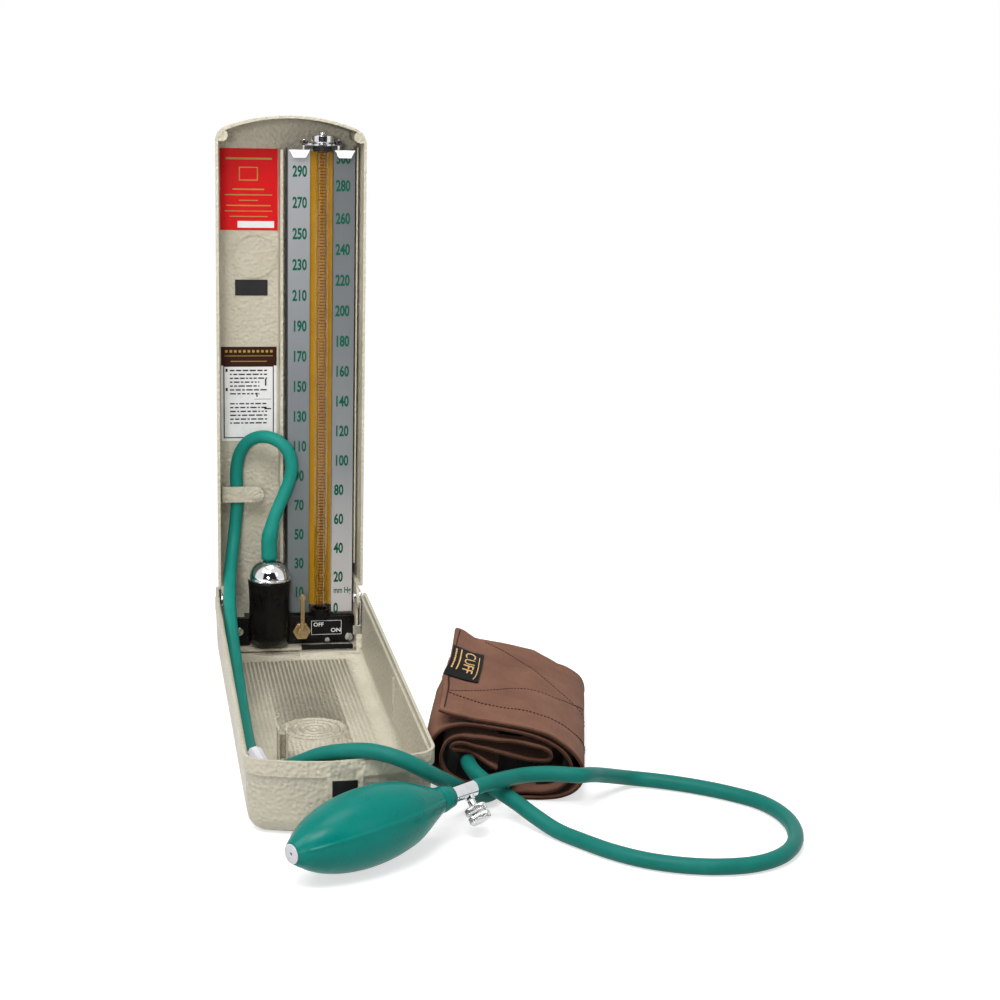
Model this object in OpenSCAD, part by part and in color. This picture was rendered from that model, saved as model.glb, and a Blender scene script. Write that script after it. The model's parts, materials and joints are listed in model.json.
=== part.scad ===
// Mercury sphygmomanometer in a fold-up case, with rolled arm cuff, hand bulb and hoses.
// Millimetres. +X right, +Y away from the viewer, +Z up; origin under the middle of the tray.

/* [Case] */
// width of the tray over its rim band
case_width = 98; // [90:1:120]
// height of the hinge axis over the table
hinge_height = 38; // [36:0.5:46]
// distance from the middle of the tray to the hinge axis
hinge_setback = 137.5; // [130:0.5:150]
// reach of the lid from the hinge axis to the top of its arch
lid_length = 309.5; // [300:0.5:330]
// depth of the lid, also the radius of its rounded foot
lid_depth = 35; // [33:0.5:36]
// rise of the arched end over its width
arch_rise = 10; // [6:0.5:14]
// wall of the tray
tray_wall = 1.8; // [1.5:0.1:2.5]
// wall of the lid
lid_wall = 1.6; // [1.4:0.1:2.5]
// height of the rim band around the tray
band_height = 8.2; // [6:0.2:12]
// rim band above the hinge axis
band_over_axis = 3.2; // [2:0.2:6]

/* [Manometer] */
// length of scale for one mmHg
scale_pitch = 0.977; // [0.9:0.001:1]
// height of the zero mark below the hinge axis
zero_drop = 6; // [4:0.5:8]
// outside diameter of the glass tube
tube_diameter = 8; // [7:0.5:9]
// bore of the glass tube
tube_bore = 4.2; // [3.6:0.1:4.5]
// sideways position of the glass tube in the lid
tube_x = 20; // [16:0.5:22]
// depth of the glass tube behind the rim of the lid
tube_y = 10; // [9:0.5:10.5]
// diameter of the mercury tank
tank_diameter = 26.2; // [24:0.2:26.4]
// sideways position of the tank in the lid
tank_x = -13.8; // [-16:0.2:-13.4]
// length of the lever that locks the tank
lever_length = 24.5; // [16:0.5:26]

/* [Cuff and bulb] */
// length of the rolled cuff along its axis
cuff_length = 145; // [120:1:150]
// thickness of the cuff cloth
cuff_cloth = 2; // [1.8:0.1:2.2]
// greatest diameter of the hand bulb
bulb_diameter = 39; // [36:0.5:42]
// diameter of the knob that releases the air
knob_diameter = 11.6; // [10:0.2:12]
// outside diameter of the hoses
hose_diameter = 8.2; // [7:0.1:8.4]

/* [Clearances] */
// gap around a turning pin or spindle, on the radius
running_gap = 0.06; // [0.03:0.01:0.1]
// gap between the lid and the tray around it
lid_gap = 0.5; // [0.4:0.1:0.8]
// gap around a sliding or seated piece
seat_gap = 0.2; // [0.1:0.05:0.3]

/* [Hidden] */
$fn = 48;

// small step that lets one cut pass clean through a face
cut = 1;
// thin slice used to build tapered shells
slice = 0.01;

// case, measured around the hinge axis
rim_half = case_width / 2;
body_inset = 1.2;
wall_draft = 0.04;
tray_fillet = 10;
rim_wall = 1.7;
rim_top = hinge_height + band_over_axis;
band_bottom = rim_top - band_height;
ledge_z = hinge_height - 0.3;
front_reach = lid_length + rim_wall + lid_gap + 0.3;
front_y = hinge_setback - front_reach;
floor_z = 2;
corner_radius = 11;
tray_corner = corner_radius + rim_wall + lid_gap;
lid_half = rim_half - rim_wall - lid_gap;
arch_radius = (lid_half * lid_half + arch_rise * arch_rise) / (2 * arch_rise);
tray_arch_radius = arch_radius + rim_wall + lid_gap + 0.3;

// hinge: foot of the lid inside the rounded end of the tray
drum_gap = 1;
drum_inner = lid_depth + drum_gap;
drum_outer = hinge_height;
drum_fillet = 6;
foot_half = rim_half - 5.1;
drum_half_in = foot_half + 1.3;
drum_half_out = drum_half_in + 2;
foot_wall = 1.5;
foot_depth = lid_depth - 0.15;
foot_in = foot_half - foot_wall;
foot_fillet = 4;
foot_top = 14;
joggle_z = 8;
ear_radius = 7;
ear_thick = 1.7;
pin_radius = 2;
pin_hole = pin_radius + running_gap;
pin_head = 3.4;
stay_in = foot_half + 0.3;
stay_thick = 0.8;

// latch in the front wall
latch_x = 1;
latch_z = 25.2;
button_half = 6.3;
button_tall = 11.4;
window_half = button_half + seat_gap;
window_tall = button_tall + 2 * seat_gap;
button_front = front_y + 0.1;
flange_front = front_y + body_inset + tray_wall + 1.3;
flange_thick = 1.2;
button_travel = 2.5;
bracket_y = front_y + 14.7;
spring_radius = 3.2;
spring_wire = 0.45;

// manometer, measured from the hinge axis with the lid open
plate_front = 6;
plate_back = 10;
plate_left = -36.5;
plate_right = foot_in - 0.4;
plate_bottom = -32;
plate_top = -14;
screw_places = [[plate_right - 3.4, -28.2], [plate_left + 3.3, -22.6]];
socket_top = -9.2;
socket_radius = 6.4;
tank_y = 4;
tank_radius = tank_diameter / 2;
tank_bottom = -30;
tank_top = 12.5;
tank_wall = 1.6;
flange_radius = tank_radius + 1.2;
cap_height = 12;
nipple_radius = 2.6;
nipple_top = tank_top + 1 + cap_height + 2;
gland_x = 7.2;
gland_z = -22.6;
gland_front = 1.2;
gland_radius = 6;
spindle_radius = 2.1;
lever_y = -4.2;
lever_thick = 1.6;
wing_y = 12;
wing_right = lid_half - 5.8;
wing_left = 2 * tube_x - wing_right - 0.2;
sheet = 0.8;
channel_left = tube_x - 7.4;
channel_right = tube_x + 7.4;
channel_y = 17;
scale_top = 288.4;
wing_bottom = -12.5;
channel_bottom = -8.5;
tube_radius = tube_diameter / 2;
tube_bottom = -12.5;
tube_top = scale_top + 7.1;
collar_bottom = scale_top - 0.8;
collar_tall = 3.4;
clamp_z = collar_bottom + collar_tall + seat_gap;
clamp_thick = 1.2;
nut_tall = 1.8;
cap_radius = 7.5;
cap_neck = 1;
cap_tall = 4.1;
stud_x = [tube_x - 11.4, tube_x + 10.2];
stud_y = 10.7;
stud_radius = 1.2;
panel_y = lid_depth - lid_wall;
clip_z = 65.2;
clip_y = 22.4;
boss_x = -21;
label_left = 4.2 - lid_half;

// rolled cuff: its own frame is turned about +Z
cuff_turn = -13;
cuff_back = 38;
ply = cuff_cloth / 2;
// middle of the rolled cloth at its open end, from the free end inwards
roll_line = [
  [82.4, 48.2], [90, 45.9], [97, 44.4], [105, 43], [113, 41.9], [123, 40.5], [133, 38.6],
  [141.5, 35.9], [148.6, 31.8], [154.3, 26.9], [158.6, 21.3], [160.3, 15.4], [158.6, 9.8],
  [154, 5.2], [147, 2.5], [138, 1.4], [125, 1.2], [112, 1.2], [99, 1.4], [89, 3.4],
  [82.6, 8.2], [79.2, 15], [78, 22.4], [78.6, 29.6], [81.6, 35], [86.6, 38.6], [92, 40.2],
  [98, 40.6], [105, 40.1], [113, 39.1], [123.5, 37.5], [133, 35.3], [141.4, 32], [148, 27.8],
  [152.4, 22.6], [153.8, 17], [152.2, 11.8], [147.8, 7.6], [141.5, 5], [133, 4.1], [122, 3.9],
  [110, 4], [99, 4.9], [91, 7.8], [86, 13], [84, 19.6], [84.6, 26.4], [87.6, 31.2],
  [93.4, 33.6], [100.3, 33.9], [113.4, 32.5], [123.6, 31.6], [132.8, 30.3], [139.6, 28.2],
  [142.8, 25.2], [141.9, 22.2], [137.4, 20.6], [131, 20.6], [122, 23], [113, 26], [105.4, 28],
  [97, 29.8], [91.8, 29.6], [89.4, 28.4], [88.8, 26.6], [90.6, 25.2], [98, 24.9],
  [103.4, 22.4], [109.3, 19], [114, 16.6]];

// hand bulb: its own axis runs from the tail to the neck
tail = [-30.8, front_y - 61.6, 19.6];
bulb_yaw = 32.9;
bulb_pitch = 2;
bulb_wall = 2.2;
neck_start = 92;
neck_end = 100.5;
barrel_radius = 4.1;
barrel_end = 116;
stub_radius = 3.9;
chamber_radius = 2.8;
disc_radius = 2.5;
disc_thick = 0.8;
disc_travel = 1;
screw_at = 111;
screw_yaw = -41;
knob_radius = knob_diameter / 2;
hose_radius = hose_diameter / 2;

// routes of the hoses, laid by hand
tank_hose_path = [
  [-13.8, 141.5, 66.2], [-13.8, 141.5, 73], [-13.4, 141.6, 80], [-10.6, 142.4, 91], [-7, 143.6, 100],
  [-3.2, 144.4, 108.5], [-0.2, 144.6, 117], [0.9, 144.7, 125.5], [-0.8, 144.9, 133.4],
  [-5.8, 146, 139.8], [-12.6, 149.6, 143], [-20, 154.8, 142.4], [-26.6, 159.8, 138],
  [-31, 163.4, 130.6], [-33.1, 165.4, 121.4],
  [-33.4, 166, 111], [-33, 166, 102.6], [-33.2, 166, 94], [-34.2, 164.6, 84], [-35.6, 160.4, 73],
  [-37.4, 153.4, 62.6], [-39, 143, 53.6], [-40, 130, 47.2], [-40.6, 120, 42.4], [-40.9, 108, 37.4],
  [-41, 92, 32.6], [-41, 72, 28.2], [-41, 52, 24.8], [-41, 32, 21.8], [-41, 12, 19.2],
  [-41, -8, 17.2], [-41, -28, 15.8], [-41, -48, 15], [-41, -68, 15], [-41, -88, 16.4],
  [-41.1, -106, 20.2], [-41.2, -122, 26.2], [-41.3, -135, 32]];
cuff_hose_path = [
  [-34.3, -150.5, 29.2], [-28.9, -152.5, 30.6], [-19, -156, 35.3], [-12.7, -159, 38.9],
  [-6, -162.5, 41.6], [0.2, -166, 43.4], [6.6, -169.5, 44.9], [13, -173, 45.7], [19.1, -176.5, 45.5],
  [25.8, -179, 44], [32.3, -180, 41.3], [39.4, -178.5, 36.8], [47, -174, 31], [55.1, -166, 24.1],
  [63.1, -156.5, 16.7], [70.6, -147.6, 10], [78.2, -140.6, 6.4], [84.8, -135.8, 6.6],
  [90.2, -132, 9.4], [93.6, -126.8, 11]];
bulb_hose_path = [
  [72.7, -121, 18.6], [72.7, -127.4, 18.4], [74, -134, 17.4], [76.6, -141, 16.2],
  [80.4, -148.6, 15], [85.6, -157, 13.2], [91.6, -166, 11], [98.8, -177, 7.8], [107.6, -188.8, 4.6],
  [117.6, -203, 4.3], [129, -217.6, 4.3], [143, -230, 4.3], [160, -238.6, 4.3], [178, -242.6, 4.3],
  [196, -241.4, 4.3], [212, -233, 4.3], [223.6, -218, 4.3], [229.4, -199, 4.3], [229.4, -180, 4.3],
  [223.6, -163, 4.3], [212, -149.6, 4.3], [197, -137.4, 4.3], [180, -127.4, 4.4],
  [162.6, -122.4, 5.4], [142.7, -136.5, 13.3], [133.2, -147.8, 18.2], [126.2, -152.8, 20],
  [111.6, -151.4, 21.1], [97.4, -153.3, 21.7], [84, -161.4, 23], [73.6, -168.3, 23.6], [66.9, -172.7, 23.7]];

// ------------------------------------------------------------------ helpers
function unit(v) = v / norm(v);

function tangent(p, i) =
  i == 0 ? unit(p[1] - p[0])
  : i == len(p) - 1 ? unit(p[i] - p[i - 1])
  : unit(unit(p[i + 1] - p[i]) + unit(p[i] - p[i - 1]));

function carry(p, i, u) =
  let (t = tangent(p, i), w = unit(u - (u * t) * t))
  i == len(p) - 1 ? [w] : concat([w], carry(p, i + 1, w));

// a round tube swept along a path; radii holds one radius for each point
module swept(path, radii, sides, first) {
  n = len(path);
  us = carry(path, 0, first);
  points = [for (i = [0:n - 1]) let (t = tangent(path, i), u = us[i], w = cross(t, u))
    for (j = [0:sides - 1]) let (a = 360 * j / sides)
      path[i] + radii[i] * (cos(a) * u + sin(a) * w)];
  sideways = [for (i = [0:n - 2]) for (j = [0:sides - 1])
    let (a = i * sides + j, b = i * sides + (j + 1) % sides, c = b + sides, d = a + sides)
      each [[a, d, b], [b, d, c]]];
  ends = [[for (j = [0:sides - 1]) j],
    [for (j = [0:sides - 1]) n * sides - 1 - j]];
  polyhedron(points = points, faces = concat(sideways, ends), convexity = 6);
}

function same(n, r) = [for (i = [0:n - 1]) r];

// measures below are taken from the hinge axis, with the lid standing open
module at_hinge() {
  translate([0, hinge_setback, hinge_height]) children();
}

// along +Y from y0 to y1
module rod_y(r, y0, y1) {
  translate([0, y0, 0]) rotate([-90, 0, 0]) cylinder(r = r, h = y1 - y0);
}

module block(x0, x1, y0, y1, z0, z1) {
  translate([x0, y0, z0]) cube([x1 - x0, y1 - y0, z1 - z0]);
}

// a sheet drawn in x and z, from depth y0 to y1
module sheet_y(y0, y1) {
  translate([0, y1, 0]) rotate([90, 0, 0]) linear_extrude(y1 - y0) children();
}

// ------------------------------------------------------------------ tray
// strip of the given half width and length whose end at y is arched
module arched(half, length, y, r) {
  intersection() {
    translate([-half, y - cut]) square([2 * half, length]);
    union() {
      translate([0, y + r]) circle(r = r, $fn = 120);
      translate([-r, y + r]) square([2 * r, length]);
    }
  }
}

module tray_plan(inset) {
  intersection() {
    offset(delta = -inset) offset(r = tray_corner) offset(delta = -tray_corner)
      arched(rim_half, front_reach + 40, front_y, tray_arch_radius);
    translate([-rim_half, front_y - cut]) square([case_width, front_reach + cut]);
  }
}

module drum_profile(half, r, fillet) {
  hull() {
    for (side = [-1, 1]) {
      translate([side * (half - fillet), fillet - r]) circle(r = fillet, $fn = 24);
    }
    translate([-half, -cut]) square([2 * half, cut]);
  }
}

// rounded end around an axis along X, from straight down to straight back
module drum(half, r, fillet, top) {
  for (a = [0:11.25:90]) {
    rotate([a, 0, 0]) sheet_y(0, slice) drum_profile(half, r, fillet);
  }
  translate([0, 0, top]) rotate([90, 0, 0]) sheet_y(0, slice) drum_profile(half, r, fillet);
}

module tub(wall, top, reach) {
  fillet = tray_fillet - wall;
  base = wall == 0 ? 0 : floor_z;
  hull() {
    for (t = [0:22.5:90]) {
      z = base + fillet * (1 - cos(t));
      translate([0, 0, z]) linear_extrude(slice)
        tray_plan(body_inset + wall + wall_draft * (band_bottom - z) + fillet * (1 - sin(t)));
    }
    translate([0, 0, band_bottom]) linear_extrude(slice) tray_plan(body_inset + wall);
    translate([0, 0, top]) linear_extrude(slice) tray_plan(body_inset + wall);
    at_hinge() drum(wall == 0 ? drum_half_out : drum_half_in,
      wall == 0 ? drum_outer : drum_inner, wall == 0 ? drum_fillet : foot_fillet, reach);
  }
}

module latch_frame(grow, y0, y1) {
  translate([latch_x, 0, latch_z])
    block(-window_half - grow, window_half + grow, y0, y1,
      -window_tall / 2 - grow, window_tall / 2 + grow);
}

module floor_ribs() {
  rib_end = 118;
  translate([0, rib_end, floor_z]) rotate([90, 0, 0]) linear_extrude(rib_end - front_y - 28.5)
    for (x = [-37.4:2.6:33]) {
      polygon([[x - 1.1, -0.4], [x - 1.1, 0], [x - 0.5, 0.35], [x + 0.5, 0.35], [x + 1.1, 0],
        [x + 1.1, -0.4]]);
    }
}

module ring_boss() {
  translate([0.5, -16.5, floor_z - 0.4]) {
    difference() {
      cylinder(r = 20, h = 1.6);
      for (r = [18.2, 13.6, 9, 4.4]) {
        translate([0, 0, 1.1]) difference() {
          cylinder(r = r, h = cut);
          translate([0, 0, -cut]) cylinder(r = r - 3, h = 3 * cut);
        }
      }
    }
  }
}

module tray_shell() {
  color([0.69, 0.66, 0.58]) {
    difference() {
      union() {
        tub(0, hinge_height - 0.5, 0);
        translate([0, 0, band_bottom]) linear_extrude(band_height) tray_plan(0);
        latch_frame(2.6, front_y + 0.2, front_y + 6);
      }
      tub(tray_wall, rim_top + 20, 30);
      translate([0, 0, ledge_z]) linear_extrude(20) tray_plan(rim_wall);
      translate([0, 1, ledge_z + 10])
        linear_extrude(slice + 10) tray_plan(rim_wall);
      latch_frame(0, front_y - 5, front_y + 12);
    }
    floor_ribs();
    ring_boss();
    // step on the floor in front of the foot of the lid, and its upright at the right
    at_hinge() {
      block(5, 44, -14, -3, floor_z - hinge_height - 0.4, floor_z - hinge_height + 2.2);
      block(drum_half_in - 3.2, drum_half_in + 0.4, -9, -7.4, -35, -23);
      translate([rim_half - 3.1, -161, 0]) block(-1, 0.4, -1, 1, -29, -3);
    }
  }
}

module divider_post() {
  color([0.66, 0.63, 0.55]) translate([-21.4, -62, floor_z]) {
    block(-3, -1.6, -3, 3, 0.6, 18.5);
    block(1.6, 3, -3, 3, 0.6, 16.5);
    block(-3, 3, 1.6, 3, 0.6, 14);
    translate([-2.3, 0, 18.5]) sphere(r = 1.1, $fn = 16);
    translate([2.3, 0, 16.5]) sphere(r = 1.1, $fn = 16);
  }
}

// ------------------------------------------------------------------ latch
module latch_button() {
  color([0.06, 0.06, 0.06]) translate([latch_x, 0, latch_z]) {
    block(-button_half, button_half, button_front, flange_front,
      -button_tall / 2, button_tall / 2);
    block(-button_half - 1.6, button_half + 1.6, flange_front, flange_front + flange_thick,
      -button_tall / 2 - 1.4, button_tall / 2 + 1.4);
    rod_y(2, flange_front, flange_front + 5);
  }
}

module latch_spring() {
  turns = 5;
  start = flange_front + flange_thick + spring_wire + 0.1;
  length = bracket_y - spring_wire - 0.1 - start;
  steps = turns * 12;
  path = [for (i = [0:steps]) let (a = 360 * turns * i / steps)
    [latch_x + spring_radius * cos(a), start + length * i / steps,
      latch_z + spring_radius * sin(a)]];
  color([0.7, 0.7, 0.72]) swept(path, same(steps + 1, spring_wire), 6, [1, 0, 0]);
}

module latch_bracket() {
  color([0.66, 0.63, 0.55]) translate([latch_x, 0, 0]) {
    block(-7.5, 7.5, bracket_y, bracket_y + 1.2, floor_z + 0.2, 33);
    block(-7.5, 7.5, bracket_y, bracket_y + 9, floor_z + 0.8, floor_z + 2);
  }
}

// ------------------------------------------------------------------ hinge
module stay(side) {
  color([0.78, 0.78, 0.8]) at_hinge() difference() {
    union() {
      translate([side * (stay_in + stay_thick / 2), 0, 0]) rotate([0, 90, 0])
        cylinder(r = 5, h = stay_thick, center = true);
      translate([side * (stay_in + stay_thick / 2), -3.5, -12])
        cube([stay_thick, 6, 22], center = true);
      translate([side * (stay_in + stay_thick - 2.6), -6.9, -20])
        cube([5.2, 0.8, 6], center = true);
    }
    rotate([0, 90, 0]) cylinder(r = pin_hole, h = 4 * foot_half, center = true);
  }
}

module stay_left() {
  stay(-1);
}

module stay_right() {
  stay(1);
}

// pin through the ear of the lid and the stay, headed on the inner side
module hinge_pin(side) {
  color([0.8, 0.8, 0.82]) at_hinge() rotate([0, side * 90, 0]) {
    translate([0, 0, foot_in - 0.3]) cylinder(r = pin_radius, h = 2.9);
    translate([0, 0, foot_in - 1.5]) cylinder(r = pin_head, h = 1.2);
  }
}

module hinge_pin_left() {
  hinge_pin(-1);
}

module hinge_pin_right() {
  hinge_pin(1);
}

// ------------------------------------------------------------------ lid
module lid_plan(inset, rise) {
  intersection() {
    offset(delta = -inset) offset(r = corner_radius) offset(delta = -corner_radius)
      mirror([0, 1]) arched(lid_half, lid_length + 60, -lid_length, arch_radius);
    translate([-lid_half, joggle_z + rise]) square([2 * lid_half, lid_length]);
  }
}

module lid_box(wall, front) {
  fillet = wall == 0 ? 6 : 1.2;
  depth = lid_depth - wall;
  hull() {
    sheet_y(front, front + slice) lid_plan(wall, wall);
    for (t = [0:22.5:90]) {
      y = depth - fillet + fillet * sin(t);
      sheet_y(y - slice, y)
        lid_plan(wall + wall_draft * (depth - fillet) + fillet * (1 - cos(t)), wall);
    }
  }
}

module lid_foot(wall, front) {
  hull() {
    drum(foot_half - wall, foot_depth - wall, foot_fillet - wall, foot_top + wall);
    sheet_y(front, front + slice) intersection() {
      drum_profile(foot_half - wall, foot_depth - wall, foot_fillet - wall);
      translate([-foot_half, -lid_depth]) square([2 * foot_half, lid_depth]);
    }
    sheet_y(front, front + slice)
      translate([wall - foot_half, -cut]) square([2 * (foot_half - wall), foot_top + cut]);
  }
}

module lid_shell() {
  color([0.72, 0.69, 0.6]) at_hinge() {
    difference() {
      union() {
        lid_box(0, 0);
        lid_foot(0, 0);
        for (side = [-1, 1]) {
          translate([side * (foot_half - foot_wall / 2), 0, 0]) rotate([0, 90, 0])
            cylinder(r = ear_radius, h = ear_thick, center = true);
        }
      }
      difference() {
        union() {
          lid_box(lid_wall, -cut);
          lid_foot(foot_wall, -cut);
        }
        // bosses kept inside the lid: corner lugs, clip boss, the two ribs by the scale
        for (side = [-1, 1]) {
          translate([side * (lid_half - 3.8), 0, lid_length - 12.5]) rod_y(3.8, 0.4, lid_depth);
        }
        translate([boss_x, 0, clip_z]) rod_y(4.4, clip_y + 1.7, lid_depth);
        block(wing_left - 4.4, wing_left - 2.6, 17, lid_depth, 20, scale_top - 0.4);
        block(wing_right + 1.2, wing_right + 2.2, 14, lid_depth, 20, scale_top + 1.6);
        translate([-21, 0, 219.8]) difference() {
          rod_y(14.4, panel_y - 0.8, lid_depth);
          rod_y(13, panel_y - 2, panel_y);
        }
      }
      rotate([0, 90, 0]) cylinder(r = pin_hole, h = 4 * foot_half, center = true);
    }
  }
}

// ------------------------------------------------------------------ tank and its plate
module tank_plate() {
  color([0.07, 0.07, 0.07]) at_hinge() difference() {
    union() {
      sheet_y(plate_front, plate_back) polygon([[plate_left, plate_top],
        [plate_left, plate_bottom], [plate_right - 2.6, plate_bottom],
        [plate_right, plate_bottom + 2.6], [plate_right, plate_top]]);
      block(tank_x - 15.5, tank_x + 15.5, plate_back - cut, 19, plate_bottom + 6, plate_top);
      block(0, tube_x + socket_radius, plate_back - cut, tube_y + socket_radius,
        plate_bottom + 6, plate_top);
      translate([tube_x, tube_y, plate_top - cut])
        cylinder(r = socket_radius, h = socket_top - plate_top + cut);
    }
    translate([tube_x, tube_y, tube_bottom - 0.2]) cylinder(r = 5.4, h = 10);
    translate([tube_x, tube_y, plate_bottom + 10]) cylinder(r = 1.5, h = 20);
    // passage from the tank to the tube
    translate([-4, tube_y + 1.2, plate_bottom + 11]) rotate([0, 90, 0])
      cylinder(r = 1.2, h = tube_x + 4);
    translate([tank_x, tank_y, plate_bottom - cut])
      cylinder(r = tank_radius + 0.1, h = 40);
    translate([gland_x, 0, gland_z]) rod_y(spindle_radius + running_gap, 0, 9);
    for (p = screw_places) {
      translate([p[0], 0, p[1]]) rod_y(1.6, 0, 20);
    }
    translate([24.2, 0, -29.6]) rod_y(1.3, 0, 9);
    // clear of the curved foot behind it
    difference() {
      block(-60, 60, plate_front - cut, 30, -50, -20);
      rotate([0, 90, 0]) cylinder(r = foot_depth - foot_wall - 0.2, h = 130, center = true, $fn = 180);
    }
  }
}

module plate_gasket() {
  color([0.2, 0.17, 0.15]) at_hinge() {
    block(7, plate_right - 1.4, -0.6, -0.2, -foot_depth - 0.2, plate_bottom + 0.4);
    block(7, plate_right - 1.4, -0.6, plate_front - 2.6, plate_bottom - 0.8, plate_bottom - 0.2);
  }
}

module tank_body() {
  color([0.05, 0.05, 0.05]) at_hinge() translate([tank_x, tank_y, 0]) difference() {
    union() {
      translate([0, 0, tank_bottom + 4]) cylinder(r = tank_radius, h = tank_top - tank_bottom - 4);
      translate([0, 0, tank_bottom]) cylinder(r1 = tank_radius - 3.2, r2 = tank_radius, h = 4);
      translate([0, 0, tank_top - 9]) cylinder(r1 = tank_radius, r2 = flange_radius - 0.4, h = 9);
    }
    translate([0, 0, tank_bottom + 4]) cylinder(r = tank_radius - tank_wall, h = 60);
  }
}

module mercury() {
  color([0.8, 0.8, 0.82]) at_hinge() translate([tank_x, tank_y, tank_bottom + 4])
    cylinder(r = tank_radius - tank_wall, h = 14);
}

module tank_gasket() {
  color([0.12, 0.12, 0.12]) at_hinge() translate([tank_x, tank_y, tank_top]) difference() {
    cylinder(r = flange_radius - 0.6, h = 0.8);
    translate([0, 0, -cut]) cylinder(r = tank_radius - tank_wall, h = 4);
  }
}

module tank_cap() {
  z = tank_top + 0.8;
  color([0.82, 0.82, 0.84]) at_hinge() translate([tank_x, tank_y, z]) difference() {
    union() {
      cylinder(r = flange_radius, h = 1);
      translate([0, 0, 1]) rotate_extrude() intersection() {
        scale([tank_radius - 0.6, cap_height]) circle(r = 1, $fn = 64);
        square([30, 30]);
      }
      cylinder(r = nipple_radius, h = nipple_top - z);
    }
    translate([0, 0, -cut]) cylinder(r = tank_radius - tank_wall - 1, h = 3);
    cylinder(r = 1.2, h = 60);
  }
}

module gland_nut() {
  color([0.75, 0.62, 0.42]) at_hinge() translate([gland_x, 0, gland_z]) difference() {
    translate([0, gland_front, 0]) rotate([-90, 0, 0])
      cylinder(r = gland_radius, h = plate_front - gland_front, $fn = 6);
    rod_y(spindle_radius + running_gap, 0, 20);
  }
}

module tank_lever() {
  color([0.75, 0.62, 0.42]) at_hinge() translate([gland_x, 0, gland_z]) {
    rod_y(spindle_radius, lever_y, 8.6);
    rod_y(3.2, lever_y, lever_y + lever_thick);
    block(-1.3, 1.3, lever_y, lever_y + lever_thick, 0, lever_length);
    translate([0, 0, lever_length]) rod_y(2, lever_y - 0.4, lever_y + lever_thick + 0.4);
  }
}

module plate_screws() {
  color([0.72, 0.72, 0.72]) at_hinge() for (p = screw_places) {
    translate([p[0], 0, p[1]]) difference() {
      union() {
        rod_y(2.7, plate_front - 1.4, plate_front);
        rod_y(1.5, plate_front - 1.4, plate_back + 3);
      }
      rotate([0, 25, 0]) block(-0.4, 0.4, plate_front - 2, plate_front - 0.8, -4, 4);
    }
  }
}

module stop_pin() {
  color([0.85, 0.85, 0.85]) at_hinge() translate([24.2, 0, -29.6]) {
    rod_y(1.2, plate_front, plate_front + 2.8);
    rod_y(1.7, plate_front - 2.2, plate_front);
  }
}

// ------------------------------------------------------------------ scale and tube
module wing_tab(x0, x1) {
  sheet_y(8.6, 8.6 + sheet)
    polygon([[x0, scale_top], [x1, scale_top], [x1 - 2.4, scale_top - 4.8],
      [x0 + 2.4, scale_top - 4.8]]);
  difference() {
    block(x0, x1, 8.6, wing_y + sheet, scale_top - sheet, scale_top);
    for (x = stud_x) {
      translate([x, stud_y, scale_top - 2]) cylinder(r = stud_radius + 0.1, h = 4);
    }
  }
}

module scale_plate() {
  color([0.62, 0.63, 0.65]) at_hinge() {
    // wings
    block(wing_left, channel_left, wing_y, wing_y + sheet, wing_bottom, scale_top);
    block(channel_right, wing_right, wing_y, wing_y + sheet, wing_bottom, scale_top);
    // channel behind the tube
    translate([0, 0, channel_bottom]) linear_extrude(scale_top - channel_bottom) {
      translate([channel_left - sheet, wing_y]) square([sheet, channel_y - wing_y]);
      translate([channel_left - sheet, channel_y - sheet])
        square([channel_right - channel_left + 2 * sheet, sheet]);
      translate([channel_right, wing_y]) square([sheet, channel_y - wing_y]);
    }
    // side flanges that stand on the back of the lid
    block(wing_left, wing_left + sheet, wing_y, panel_y, joggle_z + 8, scale_top);
    block(wing_right - sheet, wing_right, wing_y, panel_y, joggle_z + 8, scale_top);
    wing_tab(wing_left + 0.6, channel_left - 0.6);
    wing_tab(channel_right + 0.6, wing_right - 0.6);
  }
}

module tube_backing() {
  color([0.8, 0.57, 0.06]) at_hinge()
    block(channel_left + 0.4, channel_right - 0.4, channel_y - sheet - 0.6, channel_y - sheet,
      channel_bottom + 0.5, collar_bottom - 0.4);
}

module glass_tube() {
  color([0.85, 0.9, 0.9, 0.5]) at_hinge() translate([tube_x, tube_y, tube_bottom])
    difference() {
      cylinder(r = tube_radius, h = tube_top - tube_bottom);
      translate([0, 0, -cut]) cylinder(r = tube_bore / 2, h = tube_top - tube_bottom + 2 * cut);
    }
}

module tube_seal() {
  color([0.1, 0.1, 0.1]) at_hinge() translate([tube_x, tube_y, tube_bottom])
    difference() {
      cylinder(r = 5.3, h = 3);
      translate([0, 0, -cut]) cylinder(r = tube_radius + 0.05, h = 6);
    }
}

module tube_collar() {
  color([0.08, 0.08, 0.08]) at_hinge() translate([tube_x, tube_y, collar_bottom]) difference() {
    cylinder(r = 6, h = collar_tall);
    translate([0, 0, -cut]) cylinder(r = tube_radius + 0.05, h = 8);
    for (a = [0:20:340]) {
      rotate([0, 0, a]) translate([5.7, -0.4, -cut]) cube([1, 0.8, 8]);
    }
  }
}

module top_clamp() {
  color([0.8, 0.8, 0.82]) at_hinge() translate([0, 0, clamp_z]) difference() {
    union() {
      block(tube_x - 13, tube_x + 12.2, stud_y - 3, stud_y + 3, 0, clamp_thick);
      translate([tube_x, tube_y, 0]) cylinder(r = 7.6, h = clamp_thick);
    }
    translate([tube_x, tube_y, -cut]) cylinder(r = tube_radius + seat_gap, h = 4);
    for (x = stud_x) {
      translate([x, stud_y, -cut]) cylinder(r = stud_radius + 0.1, h = 4);
    }
  }
}

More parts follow.
